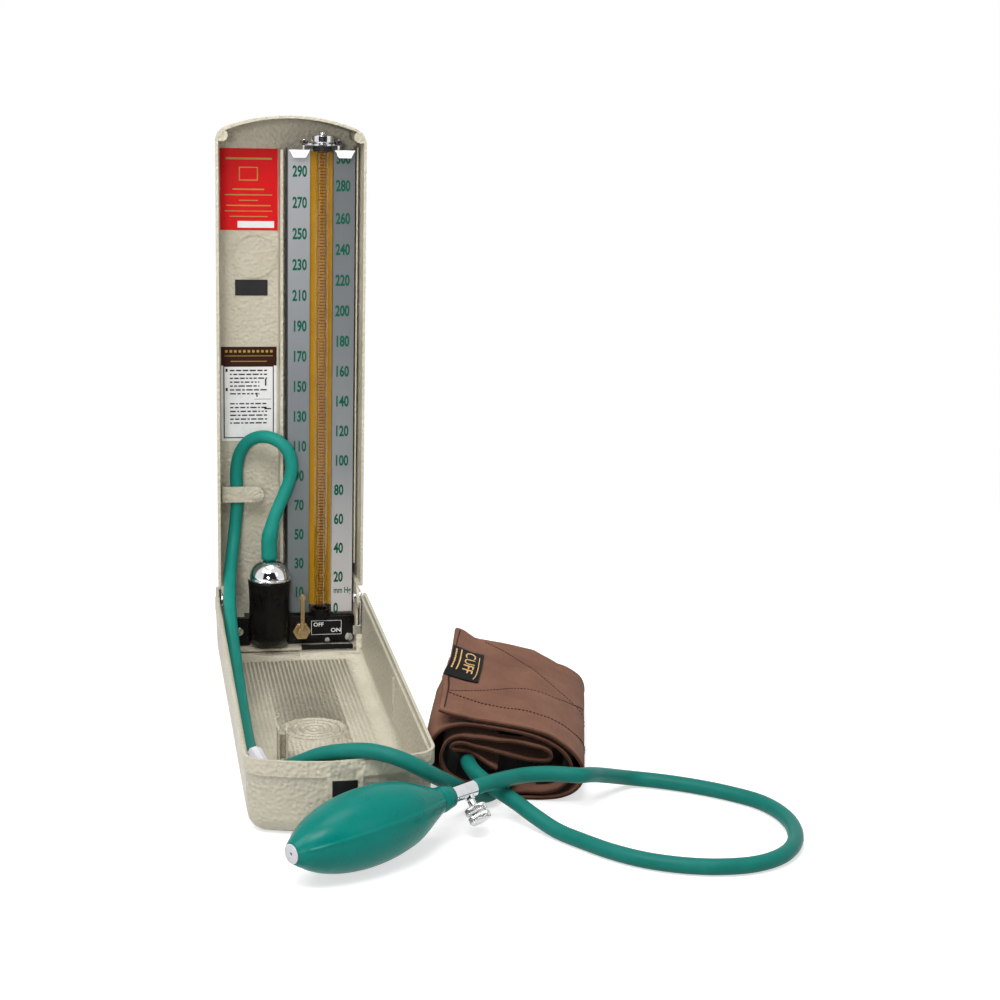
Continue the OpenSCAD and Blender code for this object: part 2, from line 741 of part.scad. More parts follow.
module clamp_studs() {
  color([0.8, 0.8, 0.82]) at_hinge() for (x = stud_x) {
    translate([x, stud_y, scale_top - 4])
      cylinder(r = stud_radius, h = clamp_z + clamp_thick + nut_tall + 0.6 - scale_top + 4);
    translate([x, stud_y, clamp_z + clamp_thick]) cylinder(r = 2.5, h = nut_tall, $fn = 6);
  }
}

module tube_cap() {
  z = clamp_z + clamp_thick;
  color([0.82, 0.82, 0.84]) at_hinge() translate([tube_x, tube_y, z]) difference() {
    union() {
      cylinder(r = cap_radius - 1.4, h = cap_neck + cut);
      translate([0, 0, cap_neck]) cylinder(r = cap_radius, h = cap_tall);
      translate([0, 0, cap_neck + cap_tall]) cylinder(r1 = 2.6, r2 = 2.1, h = 1);
      translate([0, 0, cap_neck + cap_tall + 1]) cylinder(r = 2.1, h = 1.1);
    }
    translate([0, 0, -cut]) cylinder(r = tube_radius + seat_gap, h = tube_top + 0.4 - z + cut);
  }
}

// ------------------------------------------------------------------ lid fittings
module hose_clip() {
  color([0.72, 0.69, 0.6]) at_hinge() translate([0, 0, clip_z]) difference() {
    union() {
      block(label_left - 0.4, boss_x, clip_y, clip_y + 1.6, -5.2, 5.2);
      translate([boss_x, 0, 0]) rod_y(5.2, clip_y, clip_y + 1.6);
      block(label_left - 0.4, label_left + 0.8, clip_y, panel_y - 4, -5.2, 5.2);
    }
    translate([boss_x, 0, 0]) rod_y(1.6, 0, 40);
  }
}

module clip_screw() {
  color([0.72, 0.69, 0.6]) at_hinge() translate([boss_x, 0, clip_z]) difference() {
    union() {
      rod_y(3, clip_y - 1.5, clip_y);
      rod_y(1.5, clip_y - 1.5, clip_y + 1.6);
    }
    rotate([0, 60, 0]) block(-0.4, 0.4, clip_y - 3, clip_y - 0.9, -4, 4);
  }
}

module red_label() {
  color([0.8, 0.05, 0.07]) at_hinge()
    block(label_left, -6, panel_y - 0.3, panel_y - 0.02, 236, 287.6);
}

module name_plate() {
  color([0.07, 0.07, 0.07]) at_hinge()
    block(-33.4, -12.6, panel_y - 0.5, panel_y - 0.02, 194.2, 204.4);
}

module instruction_label() {
  color([0.75, 0.72, 0.63]) at_hinge()
    block(label_left, -6.8, panel_y - 0.3, panel_y - 0.02, 99, 161);
}

// ------------------------------------------------------------------ cuff
function normal2(p, i) =
  let (d = i == 0 ? p[1] - p[0] : i == len(p) - 1 ? p[i] - p[i - 1]
    : unit(p[i + 1] - p[i]) + unit(p[i] - p[i - 1]))
  unit([-d[1], d[0]]);

module roll_band(line, half) {
  n = len(line);
  polygon(concat(
    [for (i = [0:n - 1]) line[i] + half * normal2(line, i)],
    [for (i = [n - 1:-1:0]) line[i] - half * normal2(line, i)]));
}

module in_cuff(inset) {
  rotate([0, 0, cuff_turn]) translate([0, cuff_back - inset, 0]) rotate([90, 0, 0])
    linear_extrude(cuff_length - 2 * inset) children();
}

function part_of_roll(first, last) = [for (i = [first:last]) roll_line[i]];

module cuff() {
  color([0.42, 0.3, 0.25]) difference() {
    in_cuff(0) roll_band(roll_line, ply);
    in_cuff(10) roll_band(part_of_roll(28, 53), ply - 0.5);
  }
}

module cuff_bladder() {
  color([0.1, 0.45, 0.4]) in_cuff(11) roll_band(part_of_roll(29, 52), ply - 0.65);
}

module cuff_label() {
  top = [for (p = [[83, 48.1], [90, 45.9], [97, 44.4], [102, 43.5]]) p + [0, ply + 0.35]];
  color([0.06, 0.06, 0.06]) rotate([0, 0, cuff_turn]) translate([0, 4, 0]) rotate([90, 0, 0])
    linear_extrude(51) polygon(concat(top, [for (i = [3:-1:0]) top[i] + [0, 0.35]]));
}

// ------------------------------------------------------------------ hoses
module tank_hose() {
  n = len(tank_hose_path);
  radii = concat([hose_radius + 1, hose_radius + 1, hose_radius + 0.8], same(n - 3, hose_radius));
  color([0.1, 0.5, 0.43]) swept(tank_hose_path, radii, 8, [1, 0, 0]);
}

module cuff_hose() {
  color([0.1, 0.5, 0.43])
    swept(cuff_hose_path, same(len(cuff_hose_path), hose_radius), 8, [0, 0, 1]);
}

module bulb_hose() {
  color([0.1, 0.5, 0.43])
    swept(bulb_hose_path, same(len(bulb_hose_path), hose_radius), 8, [0, 0, 1]);
}

module hose_connector() {
  n = len(tank_hose_path);
  a = tank_hose_path[n - 1];
  b = cuff_hose_path[0];
  out = tangent(tank_hose_path, n - 1);
  back = -tangent(cuff_hose_path, 0);
  color([0.6, 0.6, 0.62]) swept([a + 0.3 * out, a + 3 * out, b + 3 * back, b + 0.3 * back],
    same(4, hose_radius + 0.5), 10, [0, 0, 1]);
}

// ------------------------------------------------------------------ bulb and valves
module on_bulb(s) {
  translate(tail) rotate([0, 90 - bulb_pitch, bulb_yaw]) translate([0, 0, s]) children();
}

function belly(s) = bulb_diameter / 39 * lookup(s, [[0, 5.4], [3, 7.6], [8, 11], [15, 14.4],
  [25, 17.4], [35, 19], [44, 19.5], [53, 19.2], [62, 18], [70, 16.2], [77, 13.4], [82, 11],
  [86, 9.2], [89.5, 7.5], [neck_start, 6.7]]);

stations = [0, 3, 8, 15, 25, 35, 44, 53, 62, 70, 77, 82, 86, 89.5, 92];

module bulb() {
  color([0, 0.55, 0.48]) on_bulb(0) rotate_extrude() polygon(concat(
    [for (s = stations) [belly(s), s]],
    [[6.8, neck_start + 0.4], [6, neck_end], [stub_radius + 0.1, neck_end],
      [stub_radius + 0.1, neck_start + 1]],
    [for (i = [len(stations) - 2:-1:2]) [belly(stations[i]) - bulb_wall, stations[i]]],
    [[4.2, 6.5], [4.2, 0]]));
}

module inlet_insert() {
  color([0.75, 0.74, 0.72]) on_bulb(0) difference() {
    union() {
      translate([0, 0, -0.8]) cylinder(r = 4.9, h = 0.7);
      translate([0, 0, -0.8]) cylinder(r = 4.1, h = 7.2);
    }
    translate([0, 0, -2]) cylinder(r = 0.9, h = 12);
    translate([0, 0, 1]) cylinder(r = chamber_radius, h = disc_thick + disc_travel + 0.4);
  }
}

module inlet_disc() {
  color([0.2, 0.2, 0.2]) on_bulb(1.15) cylinder(r = disc_radius, h = disc_thick);
}

module at_screw() {
  on_bulb(screw_at) rotate([0, 0, screw_yaw]) rotate([0, 90, 0]) children();
}

module valve_body() {
  color([0.82, 0.82, 0.84]) difference() {
    union() {
      on_bulb(neck_start + 1.4) cylinder(r = stub_radius, h = 9);
      on_bulb(neck_end + 0.2) cylinder(r = barrel_radius, h = barrel_end - neck_end - 0.2);
      at_screw() cylinder(r = 2.6, h = barrel_radius + 1);
    }
    on_bulb(neck_start) cylinder(r = 1.2, h = 40);
    on_bulb(97.6) cylinder(r = chamber_radius, h = disc_thick + disc_travel + 0.4);
    at_screw() cylinder(r = 1.5 + running_gap, h = 20);
  }
}

module outlet_disc() {
  color([0.2, 0.2, 0.2]) on_bulb(97.75) cylinder(r = disc_radius, h = disc_thick);
}

module release_knob() {
  color([0.75, 0.75, 0.77]) at_screw() {
    translate([0, 0, 2]) cylinder(r = 1.5, h = 9);
    translate([0, 0, barrel_radius + 1.3]) cylinder(r = 2.2, h = 4);
    translate([0, 0, barrel_radius + 4.8]) {
      cylinder(r = knob_radius, h = 3.8);
      translate([0, 0, 3.8]) cylinder(r = knob_radius - 1.2, h = 0.8);
      translate([0, 0, 4.6]) cylinder(r = knob_radius, h = 3.8);
      translate([0, 0, 8.4]) cylinder(r1 = knob_radius - 0.4, r2 = knob_radius - 2, h = 0.9);
    }
  }
}

// ------------------------------------------------------------------ parts by name
tray_shell();
divider_post();
latch_button();
latch_spring();
latch_bracket();
stay_left();
stay_right();
hinge_pin_left();
hinge_pin_right();
lid_shell();
tank_plate();
plate_gasket();
tank_body();
tank_gasket();
tank_cap();
mercury();
gland_nut();
tank_lever();
scale_plate();
tube_backing();
glass_tube();
tube_seal();
tube_collar();
top_clamp();
clamp_studs();
tube_cap();
plate_screws();
stop_pin();
hose_clip();
clip_screw();
red_label();
name_plate();
instruction_label();
cuff();
cuff_bladder();
cuff_label();
tank_hose();
hose_connector();
cuff_hose();
bulb_hose();
bulb();
inlet_insert();
inlet_disc();
valve_body();
outlet_disc();
release_knob();
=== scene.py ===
"""Dresses the mercury sphygmomanometer: finishes, printing, hoses, hand bulb, rolled cuff and studio."""

import json
import logging
import math
import random
from dataclasses import dataclass, field
from enum import Enum
from functools import cached_property
from typing import Iterable, Sequence

import bmesh
import bpy
from mathutils import Matrix, Vector, noise

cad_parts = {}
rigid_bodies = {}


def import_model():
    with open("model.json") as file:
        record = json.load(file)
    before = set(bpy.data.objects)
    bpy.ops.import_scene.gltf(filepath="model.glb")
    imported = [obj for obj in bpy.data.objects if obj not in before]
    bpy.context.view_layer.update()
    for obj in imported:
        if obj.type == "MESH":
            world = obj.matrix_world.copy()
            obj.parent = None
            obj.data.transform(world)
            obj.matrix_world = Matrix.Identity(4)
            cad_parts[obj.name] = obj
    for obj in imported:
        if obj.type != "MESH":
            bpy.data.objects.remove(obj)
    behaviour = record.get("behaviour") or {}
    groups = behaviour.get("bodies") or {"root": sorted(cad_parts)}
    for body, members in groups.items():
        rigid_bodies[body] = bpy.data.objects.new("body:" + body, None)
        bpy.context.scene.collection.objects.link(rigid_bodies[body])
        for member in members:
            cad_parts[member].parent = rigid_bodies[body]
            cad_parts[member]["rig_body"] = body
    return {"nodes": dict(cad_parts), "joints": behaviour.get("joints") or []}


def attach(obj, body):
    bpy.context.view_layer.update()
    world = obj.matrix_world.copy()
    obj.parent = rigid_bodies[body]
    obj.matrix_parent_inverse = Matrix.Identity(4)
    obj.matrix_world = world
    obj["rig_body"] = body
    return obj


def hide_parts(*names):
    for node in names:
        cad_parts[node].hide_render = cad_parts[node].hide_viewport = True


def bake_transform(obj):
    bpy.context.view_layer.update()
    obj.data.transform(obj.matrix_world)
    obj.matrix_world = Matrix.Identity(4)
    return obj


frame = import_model()

LOG = logging.getLogger("sphygmomanometer")
MM = 0.001
WELD_M = 1e-6
SHARP_DEG = 35
CAPITAL_SIZE = 1.38
WHITE = (1, 1, 1, 1)
HINGE = Vector(next(j["pos_m"] for j in frame["joints"] if j["name"] == "lid_hinge"))

Point = tuple[float, float, float]
Colour = tuple[float, float, float]
Pairs = Sequence[tuple[float, float]]
Socket = bpy.types.NodeSocket
Material = bpy.types.Material
Shape = bmesh.types.BMesh


class Body(str, Enum):
    """The moving bodies that a piece can ride on."""

    BASE = "base"
    LID = "lid"
    KNOB = "knob"
    LATCH = "latch"
    LEVER = "tank_lock_lever"


def paint(red: int, green: int, blue: int) -> Colour:
    """Turns a colour as it looks, 0 to 255, into the linear colour that a shader takes."""

    def linear(value: int) -> float:
        share = value / 255
        return share / 12.92 if share <= 0.04045 else ((share + 0.055) / 1.055) ** 2.4

    return linear(red), linear(green), linear(blue)


def at_hinge(x: float, y: float, z: float) -> Vector:
    """Gives a place measured in millimetres from the hinge, with the lid open, in the frame."""
    return HINGE + Vector((x, y, z)) * MM


def stand(name: str, data: bpy.types.ID) -> bpy.types.Object:
    """Makes an object of its data and stands it in the scene."""
    made = bpy.data.objects.new(name, data)
    bpy.context.scene.collection.objects.link(made)
    return made


# ---------- finishes


class Nodes:
    """A node tree while its nodes are set and joined."""

    def __init__(self, tree: bpy.types.NodeTree) -> None:
        """Takes the tree that the nodes go into."""
        self.tree = tree

    def join(self, source: Socket, target: Socket) -> None:
        """Links an output to an input."""
        self.tree.links.new(source, target)

    def node(self, kind: str, inputs: dict | None = None, **settings: object) -> bpy.types.Node:
        """Adds a node.

        Args:
            kind: The node's type.
            inputs: What goes into its inputs: an output is linked, and a plain value is set.
            **settings: Properties to set on it.

        Returns:
            The new node.
        """
        made = self.tree.nodes.new(kind)
        for key, value in settings.items():
            setattr(made, key, value)
        for key, value in (inputs or {}).items():
            if isinstance(value, Socket):
                self.join(value, made.inputs[key])
            else:
                made.inputs[key].default_value = value
        return made

    def seen_directly(self, strength: float) -> Socket:
        """Gives a strength for what the camera, a mirror or a glass shows, and none for other light."""
        path = self.node("ShaderNodeLightPath").outputs
        share = path["Is Camera Ray"]
        for other in ("Is Glossy Ray", "Is Transmission Ray"):
            share = self.node("ShaderNodeMath", {0: share, 1: path[other]}, operation="MAXIMUM").outputs[0]
        return self.node("ShaderNodeMath", {0: share, 1: strength}, operation="MULTIPLY").outputs[0]


class Shader(Nodes):
    """A material while its nodes are joined."""

    def __init__(self, name: str) -> None:
        """Starts a material of that name with a plain principled surface."""
        self.material = bpy.data.materials.new(name)
        self.material.use_nodes = True
        super().__init__(self.material.node_tree)
        self.surface = self.tree.nodes["Principled BSDF"]

    def set(self, **values: object) -> None:
        """Sets sockets of the surface, with underscores for spaces in their names."""
        for key, value in values.items():
            self.surface.inputs[key.replace("_", " ")].default_value = value

    def place(self, uv: bool = False, stretch: Point = (1, 1, 1)) -> Socket:
        """Gives the coordinates that a pattern follows: the piece's UV map or its object space."""
        source = self.node("ShaderNodeTexCoord").outputs["UV" if uv else "Object"]
        return self.node("ShaderNodeMapping", {"Vector": source, "Scale": stretch}).outputs["Vector"]

    def grain(self, vector: Socket, scale: float, detail: float = 2, roughness: float = 0.5) -> Socket:
        """Adds a noise pattern with so many waves in a metre, and gives its value, about 0.5 on average."""
        return self.node("ShaderNodeTexNoise", {"Vector": vector, "Scale": scale, "Detail": detail,
                                                "Roughness": roughness}).outputs["Fac"]

    def ramp(self, value: Socket, stops: Sequence[tuple[float, Colour]]) -> Socket:
        """Turns a value from 0 to 1 into a colour by stops of a position and a linear colour."""
        made = self.node("ShaderNodeValToRGB", {"Fac": value})
        elements = made.color_ramp.elements
        while len(elements) < len(stops):
            elements.new(0.5)
        for element, (position, colour) in zip(elements, stops):
            element.position = position
            element.color = (*colour, 1)
        return made.outputs["Color"]

    def span(self, value: Socket, low: float, high: float,
             wide: tuple[float, float] = (0.3, 0.7)) -> Socket:
        """Maps a value onto the range from low to high, using the part of its own range in wide."""
        return self.node("ShaderNodeMapRange", {"Value": value, "From Min": wide[0], "From Max": wide[1],
                                                "To Min": low, "To Max": high}).outputs["Result"]

    def bump(self, height: Socket, depth_mm: float, strength: float = 1,
             under: Socket | None = None) -> Socket:
        """Roughens the surface by a height pattern, over the normal of an earlier one if it is given."""
        inputs = {"Height": height, "Distance": depth_mm * MM, "Strength": strength}
        if under is not None:
            inputs["Normal"] = under
        return self.node("ShaderNodeBump", inputs).outputs["Normal"]

    def finish(self, colour: Socket | None = None, rough: Socket | None = None,
               normal: Socket | None = None) -> Material:
        """Joins the patterns to the surface and gives the finished material."""
        for source, key in ((colour, "Base Color"), (rough, "Roughness"), (normal, "Normal")):
            if source is not None:
                self.join(source, self.surface.inputs[key])
        return self.material


@dataclass(frozen=True)
class HammeredEnamel:
    """Stove enamel with the small pits of a hammered finish."""

    name: str
    light: Colour
    dark: Colour
    cell_mm: float = 2.2
    depth_mm: float = 0.8

    def make(self) -> Material:
        """Builds the material."""
        shader = Shader(self.name)
        where = shader.place()
        pits = shader.node("ShaderNodeTexVoronoi", {"Vector": where, "Scale": 1 / (self.cell_mm * MM),
                                                    "Smoothness": 0.8}, feature="SMOOTH_F1")
        cloud = shader.grain(where, 28, 3, 0.6)
        speck = shader.grain(where, 900, 2, 0.6)
        normal = shader.bump(pits.outputs["Distance"], self.depth_mm, 0.9)
        normal = shader.bump(speck, 0.06, 0.4, normal)
        colour = shader.ramp(cloud, [(0.3, self.dark), (0.7, self.light)])
        shader.set(Specular_IOR_Level=0.3)
        return shader.finish(colour, shader.span(cloud, 0.34, 0.46), normal)


@dataclass(frozen=True)
class GlossEnamel:
    """Black or coloured enamel with a slightly uneven gloss."""

    name: str
    colour: Colour
    roughness: float = 0.22
    peel_mm: float = 0.012
    mirror: float = 0.15

    def make(self) -> Material:
        """Builds the material."""
        shader = Shader(self.name)
        where = shader.place()
        peel = shader.grain(where, 320, 2)
        uneven_tone = shader.grain(where, 90, 4, 0.7)
        lighter = tuple(min(1.0, part * 1.25 + 0.004) for part in self.colour)
        shader.set(Specular_IOR_Level=self.mirror)
        return shader.finish(
            shader.ramp(uneven_tone, [(0.35, self.colour), (0.75, lighter)]),
            shader.span(uneven_tone, self.roughness, self.roughness + 0.18),
            shader.bump(peel, self.peel_mm, 0.5))


@dataclass(frozen=True)
class BareMetal:
    """Polished, drawn or machined metal, with fine lines along one axis."""

    name: str
    colour: Colour
    roughness: float
    lines: Point = (1, 1, 1)
    line_depth_mm: float = 0.004
    smear_dark: float = 0.82

    def make(self) -> Material:
        """Builds the material."""
        shader = Shader(self.name)
        lines = shader.grain(shader.place(stretch=self.lines), 900, 3, 0.6)
        smear = shader.grain(shader.place(), 60, 3, 0.6)
        darker = tuple(part * self.smear_dark for part in self.colour)
        shader.set(Metallic=1.0)
        return shader.finish(
            shader.ramp(smear, [(0.3, darker), (0.65, self.colour)]),
            shader.span(lines, self.roughness * 0.75, self.roughness * 1.35),
            shader.bump(lines, self.line_depth_mm, 0.6))


@dataclass(frozen=True)
class HoseRubber:
    """Moulded rubber with a powdery bloom in places."""

    name: str
    colour: Colour
    bloom: Colour
    roughness: float = 0.5
    mirror: float = 0.12

    def make(self) -> Material:
        """Builds the material."""
        shader = Shader(self.name)
        where = shader.place()
        cloud = shader.grain(where, 45, 4, 0.65)
        speck = shader.grain(where, 1500, 2, 0.6)
        shader.set(Specular_IOR_Level=self.mirror)
        return shader.finish(
            shader.ramp(cloud, [(0.32, self.colour), (0.8, self.bloom)]),
            shader.span(cloud, self.roughness - 0.06, self.roughness + 0.1),
            shader.bump(speck, 0.03, 0.5))


@dataclass(frozen=True)
class WovenCloth:
    """Closely woven cloth whose threads follow the piece's UV map, in metres."""

    name: str
    colour: Colour
    dark: Colour
    thread_mm: float = 0.55
    sheen: float = 0.04
    hem_mm: float = 2.5
    hem_dark: Colour = (0.5, 0.46, 0.45)

    def make(self) -> Material:
        """Builds the material."""
        shader = Shader(self.name)
        along = shader.place(uv=True)
        threads = [shader.node("ShaderNodeTexWave", {
            "Vector": along, "Scale": 1 / (self.thread_mm * MM) / 20, "Distortion": 0.6},
            wave_type="BANDS", bands_direction=direction).outputs["Fac"] for direction in ("X", "Y")]
        weave = shader.node("ShaderNodeMath", {0: threads[0], 1: threads[1]}, operation="MULTIPLY")
        cloud = shader.grain(shader.place(), 32, 4, 0.6)
        slub = shader.grain(shader.place(uv=True, stretch=(1, 6, 1)), 420, 3, 0.6)
        blend = shader.node("ShaderNodeMix", {0: 0.45, 2: cloud, 3: slub}, data_type="FLOAT")
        shader.set(Specular_IOR_Level=0.05, Sheen_Weight=self.sheen, Sheen_Roughness=0.5)
        normal = shader.bump(weave.outputs[0], 0.2, 0.6)
        normal = shader.bump(slub, 0.15, 0.5, normal)
        # darker along the front edge: within hem_mm of it the colour is multiplied towards hem_dark
        apart = shader.node("ShaderNodeSeparateXYZ", {0: along})
        edge = shader.span(apart.outputs["Y"], 0, 1, (0, self.hem_mm * MM))
        plain = shader.ramp(blend.outputs[0], [(0.34, self.dark), (0.66, self.colour)])
        hem = shader.ramp(edge, [(0.0, self.hem_dark), (1.0, (1, 1, 1))])
        uneven_tone = shader.node("ShaderNodeMix", {0: 1, 6: plain, 7: hem}, data_type="RGBA", blend_type="MULTIPLY")
        return shader.finish(uneven_tone.outputs[2], shader.span(slub, 0.78, 0.95), normal)


@dataclass(frozen=True)
class PrintedFilm:
    """Ink or a printed plastic film."""

    name: str
    colour: Colour
    roughness: float = 0.4

    def make(self) -> Material:
        """Builds the material."""
        shader = Shader(self.name)
        cloud = shader.grain(shader.place(), 120, 3, 0.6)
        darker = tuple(part * 0.9 for part in self.colour)
        shader.set(Specular_IOR_Level=0.12)
        return shader.finish(
            shader.ramp(cloud, [(0.3, darker), (0.6, self.colour)]),
            shader.span(cloud, self.roughness, self.roughness + 0.12))


@dataclass(frozen=True)
class BrushedSheet:
    """Brushed metal of the scale with a painted reflection: lighter at the top of its left side and at the
    foot of its right side.
    """

    name: str
    # painted reflection: colour stops up the left and the right side of the tube, from low_m to high_m
    left: Sequence[tuple[float, Colour]]
    right: Sequence[tuple[float, Colour]]
    middle_m: float
    low_m: float
    high_m: float
    roughness: float = 0.42
    metallic: float = 0.5

    def make(self) -> Material:
        """Builds the material."""
        shader = Shader(self.name)
        apart = shader.node("ShaderNodeSeparateXYZ", {0: shader.place()})
        # painted reflection: the colour is picked by height and by side of the tube
        reflection_height = shader.span(apart.outputs["Z"], 0, 1, (self.low_m, self.high_m))
        side = shader.span(apart.outputs["X"], 0, 1, (self.middle_m - MM, self.middle_m + MM))
        mix = shader.node("ShaderNodeMix", {0: side, 6: shader.ramp(reflection_height, self.left),
                                            7: shader.ramp(reflection_height, self.right)}, data_type="RGBA")
        brushed = shader.grain(shader.place(stretch=(1, 1, 0.03)), 1200, 3, 0.6)
        shader.set(Metallic=self.metallic, Specular_IOR_Level=0.3)
        return shader.finish(mix.outputs[2], shader.span(brushed, self.roughness * 0.8, self.roughness * 1.3),
                             shader.bump(brushed, 0.006, 0.6))


@dataclass(frozen=True)
class ClearGlass:
    """The clear glass of the measuring tube."""

    name: str

    def make(self) -> Material:
        """Builds the material."""
        shader = Shader(self.name)
        smear = shader.grain(shader.place(stretch=(1, 1, 0.1)), 90, 2)
        shader.set(Base_Color=(1, 1, 1, 1), Transmission_Weight=1.0, IOR=1.3)
        return shader.finish(rough=shader.span(smear, 0.0, 0.05))


CASE_PAINT = HammeredEnamel("case paint", paint(192, 186, 168), paint(180, 174, 155)).make()
BLACK_ENAMEL = GlossEnamel("black enamel", paint(10, 10, 9)).make()
BLACK_PLASTIC = GlossEnamel("black plastic", paint(14, 14, 14), 0.3, mirror=0.3).make()
YELLOW_PAINT = GlossEnamel("yellow paint", paint(162, 116, 6), 0.4, mirror=0.1).make()
CHROME = BareMetal("chrome", paint(225, 225, 228), 0.07).make()
STEEL = BareMetal("steel", paint(205, 205, 205), 0.22, (1, 1, 0.1)).make()
DULL_METAL = GlossEnamel("dull grey casting", paint(186, 186, 190), 0.5, mirror=0.4).make()
# the scale metal's colour ramps are a painted reflection, lighter where the studio would show in the sheet
SCALE_METAL_PAINTED_REFLECTION = BrushedSheet(
    "scale metal with painted reflection",
    [(0.0, paint(112, 120, 122)), (0.5, paint(116, 120, 124)), (1.0, paint(150, 152, 154))],
    [(0.0, paint(205, 202, 202)), (0.3, paint(135, 139, 141)), (0.6, paint(112, 116, 118)),
     (1.0, paint(98, 101, 104))],
    HINGE.x + 0.020, HINGE.z, HINGE.z + 0.28).make()
TAB_METAL = GlossEnamel("polished tabs", paint(245, 245, 245), 0.3, mirror=0.5).make()
BRASS = BareMetal("worn brass", paint(206, 178, 138), 0.3, (1, 1, 0.2)).make()
LIQUID_METAL = BareMetal("mercury", paint(220, 220, 225), 0.03).make()
SEAL_RUBBER = HoseRubber("black rubber", paint(20, 20, 19), paint(30, 29, 28), 0.6).make()
HOSE_GREEN = HoseRubber("green hose rubber", paint(14, 102, 92), paint(26, 114, 104), 0.42).make()
PALE_HOSE_GREEN = HoseRubber("pale green hose rubber", paint(18, 120, 108), paint(30, 132, 120), 0.42).make()
BULB_GREEN = HoseRubber("green bulb rubber", paint(0, 106, 97), paint(2, 117, 107), 0.26, 0.12).make()
CUFF_CLOTH = WovenCloth("brown cuff cloth", paint(134, 96, 78), paint(102, 70, 56)).make()
LABEL_CLOTH = WovenCloth("black woven label", paint(34, 34, 36), paint(20, 20, 22), 0.4).make()
THREAD = PrintedFilm("dark thread", paint(48, 30, 25), 0.8).make()
GOLD_THREAD = PrintedFilm("gold thread", paint(214, 172, 112), 0.6).make()
GREEN_INK = PrintedFilm("green ink", paint(0, 80, 60)).make()
RED_FILM = PrintedFilm("red film", paint(206, 16, 20)).make()
MAROON_INK = PrintedFilm("maroon ink", paint(50, 22, 12)).make()
WHITE_FILM = PrintedFilm("white film", paint(226, 227, 227)).make()
DARK_INK = PrintedFilm("dark ink", paint(40, 34, 34)).make()
TICK_INK = PrintedFilm("brown ink", paint(96, 40, 8)).make()
OCHRE_INK = PrintedFilm("ochre ink", paint(170, 140, 70)).make()
GLASS = ClearGlass("tube glass").make()


# ---------- mesh helpers


def adopt(bm: Shape, name: str, material: Material, body: Body | None,
          smooth: bool = True) -> bpy.types.Object:
    """Turns a bmesh into a finished piece.

    Args:
        bm: The shape, in the frame. It is freed.
        name: The piece's name.
        material: Its finish.
        body: The body that it rides on, or None for a piece that rides on no body.
        smooth: True to shade it smooth.

    Returns:
        The new object.
    """
    mesh = bpy.data.meshes.new(name)
    for face in bm.faces:
        face.smooth = smooth
    bm.to_mesh(mesh)
    bm.free()
    mesh.materials.append(material)
    piece = stand(name, mesh)
    if body:
        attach(piece, body.value)
    LOG.info("%s: %d faces", name, len(mesh.polygons))
    return piece


def coat(node: str, material: Material) -> None:
    """Gives a node that keeps its own mesh its finish."""
    slots = frame["nodes"][node].data.materials
    slots.clear()
    slots.append(material)


def soften(node: str, material: Material, width_mm: float,
           above_mm: float = -1) -> bpy.types.Object:
    """Stands a copy of a rigid node, with its sharp edges rounded, in that node's place.

    Args:
        node: The node's name.
        material: The copy's finish.
        width_mm: The width of the rounded edges.
        above_mm: The height over the table from which edges are rounded.

    Returns:
        The copy.
    """
    bm = bmesh.new()
    bm.from_mesh(frame["nodes"][node].data)
    bmesh.ops.remove_doubles(bm, verts=bm.verts, dist=2 * WELD_M)
    upper = [e for e in bm.edges if min(v.co.z for v in e.verts) > above_mm * MM]
    corners = list({v for e in upper for v in e.verts})
    bmesh.ops.dissolve_limit(bm, angle_limit=math.radians(0.5), verts=corners, edges=upper)
    weight = bm.edges.layers.float.new("bevel_weight_edge")
    for edge in bm.edges:
        raised = min(v.co.z for v in edge.verts) > above_mm * MM
        if raised and edge.calc_face_angle(0) > math.radians(SHARP_DEG):
            edge[weight] = 1
    body = Body(frame["nodes"][node]["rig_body"])
    piece = adopt(bm, f"{node}_soft", material, body)
    piece.data.set_sharp_from_angle(angle=math.radians(SHARP_DEG))
    bevel = piece.modifiers.new("rounded edges", "BEVEL")
    bevel.width = width_mm * MM
    bevel.segments = 2
    bevel.limit_method = "WEIGHT"
    bevel.miter_outer = "MITER_ARC"
    bevel.harden_normals = True
    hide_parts(node)
    return piece


def spin_profile(profile: Pairs, steps: int) -> Shape:
    """Turns a profile, as pairs of radius and height in millimetres, round the Z axis into a closed skin."""
    bm = bmesh.new()
    line = [bm.verts.new((radius * MM, 0, height * MM)) for radius, height in profile]
    edges = [bm.edges.new(pair) for pair in zip(line, line[1:])]
    bmesh.ops.spin(bm, geom=line + edges, axis=(0, 0, 1), cent=(0, 0, 0), angle=math.tau,
                   steps=steps, use_merge=True)
    bmesh.ops.remove_doubles(bm, verts=bm.verts, dist=WELD_M)
    bmesh.ops.recalc_face_normals(bm, faces=bm.faces)
    return bm


def smooth_line(points: Sequence[Sequence[float]], pieces: int) -> list[Vector]:
    """Runs a smooth line through points, with so many short pieces between two of them."""
    points = [Vector(point) for point in points]
    ends = [2 * points[0] - points[1], *points, 2 * points[-1] - points[-2]]
    made = []
    for a, b, c, d in zip(ends, ends[1:], ends[2:], ends[3:]):
        for step in range(pieces):
            t = step / pieces
            made.append(0.5 * (2 * b + (c - a) * t + (2 * a - 5 * b + 4 * c - d) * t * t
                               + (3 * b - a - 3 * c + d) * t ** 3))
    return [*made, points[-1].copy()]


def mesh_of_curve(curve: bpy.types.Curve) -> bpy.types.Mesh:
    """Turns a curve or a text into a mesh and frees the curve."""
    holder = stand(curve.name, curve)
    bpy.context.view_layer.update()
    mesh = bpy.data.meshes.new_from_object(holder.evaluated_get(bpy.context.evaluated_depsgraph_get()))
    bpy.data.objects.remove(holder)
    bpy.data.curves.remove(curve)
    return mesh


# ---------- printing


